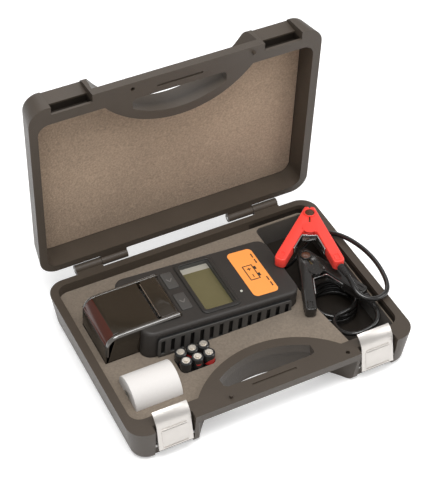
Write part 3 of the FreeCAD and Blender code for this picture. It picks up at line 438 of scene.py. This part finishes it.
def edit_all():
    """Go into edit mode with the whole mesh selected."""
    bpy.ops.object.mode_set(mode="EDIT")
    bpy.ops.mesh.select_all(action="SELECT")


def as_mesh(thing):
    """Turn a curve object into a mesh object."""
    take(thing)
    bpy.ops.object.convert(target="MESH")
    return bpy.context.object


def moved(x, y, z):
    """The matrix of a shift in mm."""
    return Matrix.Translation(Vector((x, y, z)) * MM)


def block(name, sides, matrix, bevel):
    """A bevelled block of given sides, set by a matrix, with its place in its mesh."""
    clear_selection()
    bpy.ops.mesh.primitive_cube_add(size=1.0)
    thing = bpy.context.object
    thing.name = name
    thing.matrix_world = matrix @ Matrix.Diagonal((*[side * MM for side in sides], 1.0))
    apply_place()
    edit_all()
    bpy.ops.mesh.bevel(offset=bevel * MM, segments=2, affect="EDGES")
    bpy.ops.object.mode_set(mode="OBJECT")
    return thing


def join(things, name):
    """Several bodies as one piece."""
    take(things[0])
    for thing in things[1:]:
        thing.select_set(True)
    bpy.ops.object.join()
    made = bpy.context.object
    made.name = name
    return made


def settle(thing, shade, body):
    """Finish a new piece: smooth faces, material and body."""
    take(thing)
    bpy.ops.object.shade_smooth_by_angle(angle=SMOOTH_ANGLE)
    paint(thing, shade)
    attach(thing, body)


def softened(name, shade, width, rigid=True):
    """A copy of a CAD node with merged triangles and rounded edges, in the node's stead."""
    take(frame["nodes"][name])
    bpy.ops.object.duplicate()
    piece = bpy.context.object
    bpy.ops.object.parent_clear(type="CLEAR_KEEP_TRANSFORM")
    apply_place()
    for key in list(piece.keys()):
        del piece[key]
    piece.name = name + "_soft"
    edit_all()
    bpy.ops.mesh.remove_doubles(threshold=MERGE_GAP * MM)
    bpy.ops.mesh.dissolve_limited(angle_limit=FLAT_ANGLE)
    bpy.ops.object.mode_set(mode="OBJECT")
    bpy.ops.object.shade_smooth()
    edge = piece.modifiers.new("soft_edge", "BEVEL")
    edge.width = width * MM
    edge.segments = 3
    edge.limit_method = "ANGLE"
    edge.angle_limit = SHARP_ANGLE
    edge.use_clamp_overlap = not rigid
    edge.harden_normals = rigid
    bpy.ops.object.modifier_apply(modifier=edge.name)
    if not rigid:
        bpy.ops.object.shade_smooth_by_angle(angle=SMOOTH_ANGLE)
    paint(piece, shade)
    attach(piece, BODY_OF[name])
    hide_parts(name)
    return piece


def weld():
    """Close the active mesh's seams and turn its faces outward."""
    edit_all()
    bpy.ops.mesh.remove_doubles(threshold=WELD_GAP * MM)
    bpy.ops.mesh.normals_make_consistent(inside=False)
    bpy.ops.object.mode_set(mode="OBJECT")


def flat_curve(name, loops):
    """Closed outlines as a flat curve object; later outlines are holes."""
    curve = bpy.data.curves.new(name, "CURVE")
    curve.dimensions = "2D"
    for loop in loops:
        spline = curve.splines.new("POLY")
        spline.points.add(len(loop) - 1)
        for spot, (x, y) in zip(spline.points, loop):
            spot.co = (x * MM, y * MM, 0, 1)
        spline.use_cyclic_u = True
    thing = bpy.data.objects.new(name, curve)
    bpy.context.scene.collection.objects.link(thing)
    return thing


def plate(name, loops, high, bevel, matrix):
    """A flat form with rounded edges from closed outlines, set by a matrix."""
    thing = flat_curve(name, loops)
    curve = thing.data
    curve.fill_mode = "BOTH"
    curve.extrude = (high / 2 - bevel) * MM
    curve.bevel_depth = bevel * MM
    curve.bevel_resolution = 2
    curve.offset = -bevel * MM
    thing = as_mesh(thing)
    thing.matrix_world = matrix
    apply_place()
    weld()
    return thing


def rounded_loop(x0, y0, x1, y1, radius):
    """Points of a rectangle with rounded corners."""
    points = []
    corners = ((x1 - radius, y1 - radius, 0), (x0 + radius, y1 - radius, 90), (x0 + radius, y0 + radius, 180),
               (x1 - radius, y0 + radius, 270))
    for x, y, start in corners:
        for i in range(CORNER_STEPS + 1):
            angle = math.radians(start + 90 * i / CORNER_STEPS)
            points.append((x + radius * math.cos(angle), y + radius * math.sin(angle)))
    return points


def ring_loop(radius, steps=RING_STEPS):
    """Points of a circle."""
    return [(radius * math.cos(2 * math.pi * i / steps), radius * math.sin(2 * math.pi * i / steps))
            for i in range(steps)]


def on_tester(u, v, w, turn=0.0):
    """A place on the tester, whose own frame leans in the case."""
    lean = Matrix.Rotation(TESTER_TILT, 4, "Y")
    return moved(*TESTER_ORIGIN) @ lean @ moved(u, v, w) @ Matrix.Rotation(turn, 4, "Z")


def on_clamp(name, u, v, w, turn=0.0):
    """A place on a clamp: u towards the jaw's tip, v to its left."""
    x, y, z, heading = CLAMPS[name]
    at = moved(x, y, z) @ Matrix.Rotation(math.radians(heading), 4, "Z")
    return at @ moved(u, v, w) @ Matrix.Rotation(turn, 4, "Z")


def route(points):
    """Route points (x, distance behind the front edge, height over the rim) in metres."""
    return [Vector((x, behind + FRONT, height + RIM)) * MM for x, behind, height in points]


def path_curve(name, points):
    """One smooth spline along a path in metres, with no thickness yet."""
    curve = bpy.data.curves.new(name, "CURVE")
    curve.dimensions = "3D"
    curve.resolution_u = LEAD_SMOOTHNESS
    spline = curve.splines.new("NURBS")
    spline.points.add(len(points) - 1)
    for spot, point in zip(spline.points, points):
        spot.co = (*point, 1.0)
    spline.order_u = 3
    spline.use_endpoint_u = True
    thing = bpy.data.objects.new(name, curve)
    bpy.context.scene.collection.objects.link(thing)
    return thing


def centreline(thing):
    """Points along a curve that has no thickness yet."""
    bpy.context.view_layer.update()
    mesh = bpy.data.meshes.new_from_object(thing.evaluated_get(bpy.context.evaluated_depsgraph_get()))
    points = [spot.co.copy() for spot in mesh.vertices]
    bpy.data.meshes.remove(mesh)
    return points


def thicken(thing, radius):
    """Make a curve a round tube with closed ends."""
    thing.data.bevel_depth = radius
    thing.data.bevel_resolution = LEAD_ROUNDNESS
    thing.data.use_fill_caps = True


def finish_shells(colour):
    """Grained plastic on the case halves, with painted shade in the lead bay and in the lid's latch pockets.
    """
    for name, hollows in (("base_shell", [BAY]), ("lid_shell", CATCHES)):
        grain = moulded(name + "_grain", colour, rough=0.42, grain=1100.0, depth=0.0002)
        for hollow in hollows:
            # Painted shade: a darker copy of the grain's colour inside each box
            grain.darken(grain.within(hollow), PAINTED_SHADE_TONE)
        dress(grain, name)


def finish_latches():
    """Silver latches, each with a raised panel between two ridges."""
    silver = metal("latch_silver", (0.59, 0.56, 0.53), rough=0.36, stretch=(1, 6, 0.1), metallic=0.75)
    latches = {"latch_left": -LATCH_X, "latch_right": LATCH_X}
    for body in latches:
        softened(body, silver, LATCH_EDGE)
    for body, x in latches.items():
        at = moved(x, PANEL_Y, PANEL_Z) @ Matrix.Rotation(-LATCH_LEAN, 4, "X")
        bars = [block("panel", PANEL_SIDES, at, PANEL_EDGE)]
        for height in RIDGE_HEIGHTS:
            bars.append(block("ridge", RIDGE_SIDES, at @ moved(0, -RIDGE_PROUD, height), RIDGE_EDGE))
        settle(join(bars, body + "_panel"), silver, body)


class KIT_OT_case(bpy.types.Operator):
    """Finish the case halves, hinges and latches"""

    bl_idname = "kit.case"
    bl_label = "Case"

    def execute(self, context):
        finish_shells(context.scene.kit_colours.case)
        finish_latches()
        dress(metal("pin_steel", (0.55, 0.54, 0.53), rough=0.3, stretch=(0.1, 1, 1)), "hinge_pins",
              "latch_pins")
        return {"FINISHED"}


class KIT_OT_foam(bpy.types.Operator):
    """Cut foam tray and lid sheet with softened edges"""

    bl_idname = "kit.foam"
    bl_label = "Foam"

    def execute(self, context):
        colours = context.scene.kit_colours
        edge = context.scene.kit_sizes.foam_edge / MM
        # The tray gets painted shade in its pockets; the lid sheet, with its floor at nought, gets none
        tray = foam_finish("tray_foam", colours.base_foam, pore_scale=900.0, depth=0.0003, contrast=0.3,
                           floor=TRAY_TOP - POCKET_DROP)
        sheet = foam_finish("lid_sheet", colours.lid_foam, pore_scale=420.0, depth=0.0006, contrast=0.54,
                            floor=0.0)
        for name, shade in (("base_foam", tray), ("lid_foam", sheet)):
            softened(name, shade, edge, rigid=False)
        return {"FINISHED"}


def finish_grip(name, is_deep):
    """Ribbed rubber with painted shade, near black, at the bottom of its slots; is_deep makes that mask from
    the Y coordinate.
    """
    ribbed = moulded(name + "_rubber", (0.06, 0.056, 0.052), rough=0.5, grain=900.0, depth=0.0002)
    slot_shade = is_deep(ribbed.axis("Y"))
    # Painted shade, near black, at the bottom of the slots
    ribbed.set(Base_Color=ribbed.mix(slot_shade, (0.062, 0.058, 0.054), (0.006, 0.006, 0.006)))
    softened(name, ribbed, GRIP_EDGE)


def finish_housing(colour):
    """Housing, rubber parts, side grips and keys of the tester."""
    dress(moulded("housing_grain", colour, rough=0.46), "tester_lower_housing", "tester_upper_housing",
          "battery_door")
    dress(moulded("boot_rubber", (0.032, 0.03, 0.029), rough=0.62, grain=900.0, depth=0.0002),
          "tester_lead_boots", "key_mat", "black_lead_boot", "red_lead_boot")
    finish_grip("side_grip_front", lambda across: across > GRIP_FLOOR_FRONT * MM)
    finish_grip("side_grip_back", lambda across: across < GRIP_FLOOR_BACK * MM)
    satin = moulded("key_satin", (0.07, 0.066, 0.062), rough=0.42)
    softened("key_front", satin, KEY_EDGE)
    softened("key_back", satin, KEY_EDGE)
    lens = moulded("lamp_lens", (0.55, 0.55, 0.48), rough=0.2, grain=600.0, depth=0.00002, tone=0.05,
                   coat=0.6)
    dress(lens, "indicator_lamp")
    dress(moulded("solder_mask", (0.02, 0.15, 0.06), rough=0.4), "circuit_board")


def finish_display():
    """Hood and frame round an unlit olive screen, with a pale band along its far edge for the well's grey far
    wall: partly its own colour, partly painted light.
    """
    hood = plate("display_hood", [rounded_loop(*HOOD_OUTER), rounded_loop(*HOOD_INNER)], HOOD_HIGH, HOOD_EDGE,
                 on_tester(0, 0, HOOD_RISE))
    dull = moulded("hood_satin", (0.03, 0.028, 0.026), rough=0.32, depth=0.00006, tone=0.1, coat=0.2)
    settle(hood, dull, "case")
    dress(moulded("frame_satin", (0.06, 0.058, 0.055), rough=0.38), "display_frame")
    screen = Shade("screen_olive")
    mist = screen.noise(30.0)
    olive = screen.mix(mist, (0.112, 0.099, 0.047), (0.142, 0.126, 0.064))
    # Painted light: a pale band for the lit, grey far wall of the display's well
    lit_wall_band = screen.axis("Y") > SCREEN_BAND * MM
    screen.set(Base_Color=screen.mix(lit_wall_band, olive, (0.36, 0.34, 0.29)), Roughness=0.12 + mist * 0.08,
               Coat_Weight=0.4)
    dress(screen, "display_glass", "display_module")


def mark_label(colour, high):
    """Label film with a plain battery sign and bars."""
    dress(moulded("label_film", colour, rough=0.42, grain=1800.0, depth=0.00003, tone=0.05), "label_plate")
    ink = moulded("mark_ink", (0.03, 0.026, 0.024), rough=0.5, grain=1800.0, depth=0.00002)
    marks = [block("stroke", (width, length, high), on_tester(u, v, MARK_RISE), MARK_EDGE)
             for u, v, width, length in BATTERY_SIGN + LABEL_BARS]
    settle(join(marks, "label_marks"), ink, "case")


def mark_keys(high):
    """A plain arrow on each key."""
    pale = moulded("key_ink", (0.16, 0.15, 0.14), rough=0.5, grain=1800.0, depth=0.00002)
    sides = (ARROW_WIDTH, ARROW_LENGTH, high)
    for body, middle in KEY_MIDDLES.items():
        arms = [block("stroke", sides, on_tester(KEY_U + shift, middle, KEY_RISE, turn), MARK_EDGE)
                for shift, turn in ARROW_ARMS]
        settle(join(arms, body + "_sign"), pale, body)


class KIT_OT_tester(bpy.types.Operator):
    """Finish the tester's housing, display, keys and label, with plain marks"""

    bl_idname = "kit.tester"
    bl_label = "Tester"

    def execute(self, context):
        colours = context.scene.kit_colours
        high = context.scene.kit_sizes.mark_height / MM
        finish_housing(colours.tester)
        finish_display()
        mark_label(colours.label, high)
        mark_keys(high)
        return {"FINISHED"}


def finish_cover(dark):
    """Smoked cover, reddish at its nose."""
    smoked = Shade("cover_smoked")
    nose = smoked.axis("X") < COVER_NOSE * MM
    smoked.set(Base_Color=smoked.mix(nose, dark, (0.06, 0.014, 0.007)),
               Roughness=0.06 + smoked.noise(26.0) * 0.08, Specular_IOR_Level=0.38)
    softened("printer_cover", smoked, COVER_EDGE)


def add_rims():
    """A glossy rim along each cheek of the printer, leaning outward."""
    # The rims' colour is lighter than the printer's own: painted highlight on top of the real gloss
    shine = moulded("rim_gloss", (0.075, 0.067, 0.058), rough=0.14, grain=900.0, depth=0.00001, tone=0.1,
                    coat=1.0)
    shine.set(Specular_IOR_Level=0.8)
    oval = [Vector((RIM_HALF_WIDTH * x, RIM_HALF_THICK * y)) for x, y in ring_loop(1.0, RIM_STEPS)]
    for side, name in ((-1, "printer_rim_front"), (1, "printer_rim_back")):
        rim = path_curve(name, [on_tester(u, side * RIM_OFFSET, w) @ Vector() for u, w in PRINTER_RIM])
        lean = Matrix.Rotation(side * RIM_LEAN, 2)
        profile = flat_curve("rim_profile", [[lean @ spot for spot in oval]])
        rim.data.bevel_mode = "OBJECT"
        rim.data.bevel_object = profile
        rim.data.use_fill_caps = True
        rim = as_mesh(rim)
        weld()
        bpy.data.objects.remove(profile)
        settle(rim, shine, "case")


class KIT_OT_printer(bpy.types.Operator):
    """Finish the receipt printer"""

    bl_idname = "kit.printer"
    bl_label = "Printer"

    def execute(self, context):
        dark = (0.03, 0.023, 0.016)
        finish_cover(dark)
        gloss = moulded("printer_gloss", dark, rough=0.2, grain=900.0, depth=0.00002, tone=0.1, coat=0.4)
        softened("printer_tub", gloss, TUB_EDGE)
        softened("printer_bezel", gloss, BEZEL_EDGE)
        add_rims()
        dress(moulded("platen_rubber", (0.03, 0.03, 0.03), rough=0.7), "platen_roller")
        dress(metal("bright_steel", (0.62, 0.61, 0.6), rough=0.25, stretch=(1, 0.1, 1)), "platen_shaft",
              "cover_hinge_pin", "print_head", "tear_bar")
        return {"FINISHED"}


def finish_paper():
    """White paper with fibres, and wound layers on the ends of the rolls."""
    paper = Shade("thermal_paper")
    fibre = paper.noise(700.0)
    flat = paper.node("ShaderNodeVectorMath", {"operation": "MULTIPLY"}, {0: paper.place, 1: (0, 1, 1)})
    from_axis = paper.node("ShaderNodeVectorMath", {"operation": "DISTANCE"},
                           {0: flat, 1: Vector(ROLL_AXIS) * MM}, "Value")
    wound = paper.node("ShaderNodeMath", {"operation": "SINE"}, {0: from_axis * ROLL_LAYERS})
    paper.set(Base_Color=paper.mix(fibre * 0.5 + wound * 0.12, (0.69, 0.66, 0.635), (0.79, 0.765, 0.74)),
              Roughness=0.62 + fibre * 0.15)
    paper.bump(fibre * 0.3 + wound * 0.3, 0.00006)
    dress(paper, "printer_paper_roll")
    softened("spare_paper_roll", paper, ROLL_EDGE)
    dress(moulded("core_plain", (0.5, 0.47, 0.42), rough=0.7), "spare_roll_core")


def finish_cells():
    """Black sleeves with red patches and bright caps."""
    sleeve = Shade("cell_sleeve")
    height = sleeve.axis("Z")
    pitch = CELL_PITCH * MM
    off_x, off_y = [sleeve.node("ShaderNodeMath", {"operation": "FLOORED_MODULO"},
                                {0: sleeve.axis(axis) - first * MM + pitch / 2, 1: pitch}) - pitch / 2
                    for axis, first in CELL_FIRST.items()]
    cap = (height > CAP_HEIGHT * MM) * (off_x * off_x + off_y * off_y < (CAP_RADIUS * MM) ** 2)
    low, high = SLEEVE_PATCH
    patch = (height < high * MM) * (height > low * MM) * (sleeve.noise(60.0, detail=0.0) > 0.46)
    wrap = sleeve.mix(patch, (0.02, 0.02, 0.02), (0.55, 0.03, 0.03))
    sleeve.set(Base_Color=sleeve.mix(cap, wrap, (0.72, 0.66, 0.58)),
               Roughness=0.12 + sleeve.noise(400.0) * 0.1, Metallic=cap * 0.7)
    dress(sleeve, "spare_cells", "tester_cells")


class KIT_OT_spares(bpy.types.Operator):
    """Finish the paper rolls and the cells"""

    bl_idname = "kit.spares"
    bl_label = "Spares"

    def execute(self, context):
        finish_paper()
        finish_cells()
        return {"FINISHED"}


def finish_arms(name, shade, bright):
    """Arms, pin and leaf spring of a clamp."""
    softened(name + "_clamp_fixed_arm", shade, ARM_EDGE)
    softened(name + "_clamp_moving_arm", shade, ARM_EDGE)
    dress(shade, name + "_clamp_pin")
    spring = softened(name + "_clamp_spring", bright, SPRING_EDGE)
    name + "_clamp_squeeze"
    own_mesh(spring)


def add_window(name, side, end, shade, body):
    """A raised frame at the end of a clamp's handle."""
    u, v, w = WINDOW_AT
    loops = [rounded_loop(*WINDOW_OUTER), rounded_loop(*WINDOW_INNER)]
    window = plate("%s_clamp_window_%s" % (name, end), loops, WINDOW_HIGH, WINDOW_EDGE,
                   on_clamp(name, u, side * v, w, -side * CLAMP_LEAN))
    settle(window, shade, body)


def add_disc(name, shade, amber):
    """An amber disc in a rim over the jaw's tip."""
    disc = plate(name + "_clamp_cap", [ring_loop(DISC_RADIUS)], DISC_HIGH, DISC_EDGE,
                 on_clamp(name, DISC_U, 0, DISC_RISE))
    settle(disc, amber, "case")
    rim = plate(name + "_clamp_cap_rim", [ring_loop(radius) for radius in DISC_RIM_RADII], DISC_RIM_HIGH,
                DISC_RIM_EDGE, on_clamp(name, DISC_U, 0, DISC_RIM_RISE))
    settle(rim, shade, "case")


def add_ribs(name, side, arm, tall, shade, body):
    """Grip ribs along the outer face of one arm."""
    ribs = []
    for i in range(RIB_COUNT):
        u = RIB_FIRST - RIB_PITCH * i
        edge = JAW_HALF + (JAW_LENGTH - u) * CLAMP_SLOPE
        at = on_clamp(name, u, side * edge, 0, -side * CLAMP_LEAN)
        ribs.append(block("rib", (RIB_WIDTH, RIB_DEPTH, tall), at, RIB_EDGE))
    settle(join(ribs, "%s_clamp_%s_ribs" % (name, arm)), shade, body)


class KIT_OT_clamps(bpy.types.Operator):
    """Finish the clamps and rib their grips"""

    bl_idname = "kit.clamps"
    bl_label = "Clamps"

    def execute(self, context):
        tall = context.scene.kit_sizes.rib_length / MM
        looks = {"red": moulded("red_satin", context.scene.kit_colours.red_clamp, rough=0.36, grain=900.0,
                                depth=0.00008, tone=0.1, coat=0.15),
                 "black": moulded("black_satin", (0.02, 0.018, 0.016), rough=0.24, grain=900.0, depth=0.00004,
                                  tone=0.1, coat=0.5)}
        bright = metal("leaf_chrome", (0.78, 0.77, 0.76), rough=0.14, stretch=(1, 1, 0.1))
        amber = moulded("cap_amber", (0.09, 0.035, 0.018), rough=0.3, grain=900.0, depth=0.00005, tone=0.3,
                        coat=0.3)
        for name, shade in looks.items():
            moving = name + "_clamp_arm"
            finish_arms(name, shade, bright)
            add_window(name, 1, "left", shade, moving)
            add_window(name, -1, "right", shade, "case")
            add_disc(name, shade, amber)
            add_ribs(name, 1, "moving", tall, shade, moving)
            add_ribs(name, -1, "fixed", tall, shade, "case")
        dress(metal("contact_brass", (0.72, 0.52, 0.24), rough=0.3, stretch=(1, 1, 0.1)), "red_contact_plate",
              "black_contact_plate")
        return {"FINISHED"}


def coil_turns():
    """Points down the stowed coil, in metres."""
    count = int(COIL_TURNS * COIL_POINTS_PER_TURN)
    points = []
    for i in range(count + 1):
        angle = math.radians(COIL_START + 360 * i / COIL_POINTS_PER_TURN)
        height = COIL_TOP + (COIL_BOTTOM - COIL_TOP) * i / count
        points.append(Vector((COIL_X + COIL_RADIUS * math.cos(angle), COIL_Y + COIL_RADIUS * math.sin(angle),
                              height)) * MM)
    return points


def lay_black_lead(sheath):
    """From the black clamp through the coil to the tester."""
    black = path_curve("black_test_lead", route(BLACK_ROUTE) + coil_turns() + route(BLACK_TAIL))
    line = centreline(black)
    thicken(black, LEAD_DIAMETER / 2)
    paint(black, sheath)
    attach(black, "case")
    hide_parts("black_lead", "black_lead_coil", "black_lead_tail")


def lay_red_lead(sheath):
    """From the red clamp out over the case's edge to the tester."""
    red = path_curve("red_test_lead", route(RED_ROUTE))
    line = centreline(red)
    thicken(red, LEAD_DIAMETER / 2)
    red = as_mesh(red)
    settle(red, sheath, "case")
    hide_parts("red_lead")
    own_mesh(red)


class KIT_OT_leads(bpy.types.Operator):
    """Lay the two test leads"""

    bl_idname = "kit.leads"
    bl_label = "Leads"

    def execute(self, context):
        sheath = moulded("lead_sheath", (0.014, 0.013, 0.012), rough=0.22, grain=700.0, depth=0.00003,
                         tone=0.15, coat=0.5)
        lay_black_lead(sheath)
        lay_red_lead(sheath)
        return {"FINISHED"}


def add_floor():
    """A pale floor that the camera sees as white."""
    clear_selection()
    bpy.ops.mesh.primitive_plane_add(size=FLOOR_SIZE, location=(0, 0, -FLOOR_DROP))
    floor = bpy.context.object
    floor.name = "floor"
    pale = Shade("floor_pale")
    rays = pale.tree.nodes.new("ShaderNodeLightPath").outputs
    seen = (Wire(pale, rays["Is Camera Ray"]) + Wire(pale, rays["Is Glossy Ray"])
            + Wire(pale, rays["Is Transmission Ray"]))
    pale.set(Base_Color=(FLOOR_TONE,) * 3, Roughness=0.9,
             Emission_Color=pale.mix(seen, (0.0, 0.0, 0.0), (FLOOR_GLOW,) * 3), Emission_Strength=1.0)
    paint(floor, pale)


def add_world(scene):
    """White surroundings, dimmer as light than the camera sees them."""
    world = bpy.data.worlds.new("studio")
    world.use_nodes = True
    nodes, links = world.node_tree.nodes, world.node_tree.links
    back = nodes["Background"]
    back.inputs["Color"].default_value = (1, 1, 1, 1)
    rays = nodes.new("ShaderNodeLightPath")
    level = nodes.new("ShaderNodeMapRange")
    level.inputs["To Min"].default_value = WORLD_LIGHT
    level.inputs["To Max"].default_value = WORLD_SEEN
    links.new(rays.outputs["Is Camera Ray"], level.inputs["Value"])
    links.new(level.outputs["Result"], back.inputs["Strength"])
    scene.world = world


def aim(thing, spot, target):
    """Put a light or camera at a spot, looking at a target."""
    thing.location = spot
    thing.rotation_euler = (Vector(target) - Vector(spot)).to_track_quat("-Z", "Y").to_euler()
    bpy.context.scene.collection.objects.link(thing)


def add_lights():
    for name, spot, energy, width in LIGHTS:
        lamp = bpy.data.lights.new(name, "AREA")
        lamp.energy = energy
        lamp.size = width
        aim(bpy.data.objects.new(name, lamp), spot, LIGHT_AIM)


def add_camera(scene):
    """The photograph's view."""
    camera = bpy.data.objects.new("camera", bpy.data.cameras.new("camera"))
    camera.data.lens = CAMERA_LENS
    camera.data.sensor_width = CAMERA_SENSOR
    aim(camera, CAMERA_AT, CAMERA_AIM)
    scene.camera = camera


class KIT_OT_stage(bpy.types.Operator):
    """Floor, lights and camera"""

    bl_idname = "kit.stage"
    bl_label = "Stage"

    def execute(self, context):
        scene = context.scene
        scene.view_settings.view_transform = "Standard"
        add_floor()
        add_world(scene)
        add_lights()
        add_camera(scene)
        return {"FINISHED"}


STEPS = (KIT_OT_case, KIT_OT_foam, KIT_OT_tester, KIT_OT_printer, KIT_OT_spares, KIT_OT_clamps, KIT_OT_leads,
         KIT_OT_stage)


class KIT_PT_sidebar(bpy.types.Panel):
    bl_idname = "KIT_PT_sidebar"
    bl_label = "Tester kit"
    bl_space_type = "VIEW_3D"
    bl_region_type = "UI"
    bl_category = "Tester kit"

    def draw(self, context):
        for group in (context.scene.kit_colours, context.scene.kit_sizes):
            for key in group.__annotations__:
                self.layout.prop(group, key)
        for step in STEPS:
            self.layout.operator(step.bl_idname)


CLASSES = (KitColours, KitSizes, *STEPS, KIT_PT_sidebar)


def register():
    for kind in CLASSES:
        bpy.utils.register_class(kind)
    bpy.types.Scene.kit_colours = bpy.props.PointerProperty(type=KitColours)
    bpy.types.Scene.kit_sizes = bpy.props.PointerProperty(type=KitSizes)


def unregister():
    del bpy.types.Scene.kit_sizes
    del bpy.types.Scene.kit_colours
    for kind in reversed(CLASSES):
        bpy.utils.unregister_class(kind)


def main():
    register()
    for step in STEPS:
        group, name = step.bl_idname.split(".")
        getattr(getattr(bpy.ops, group), name)()


if __name__ == "__main__":
    main()
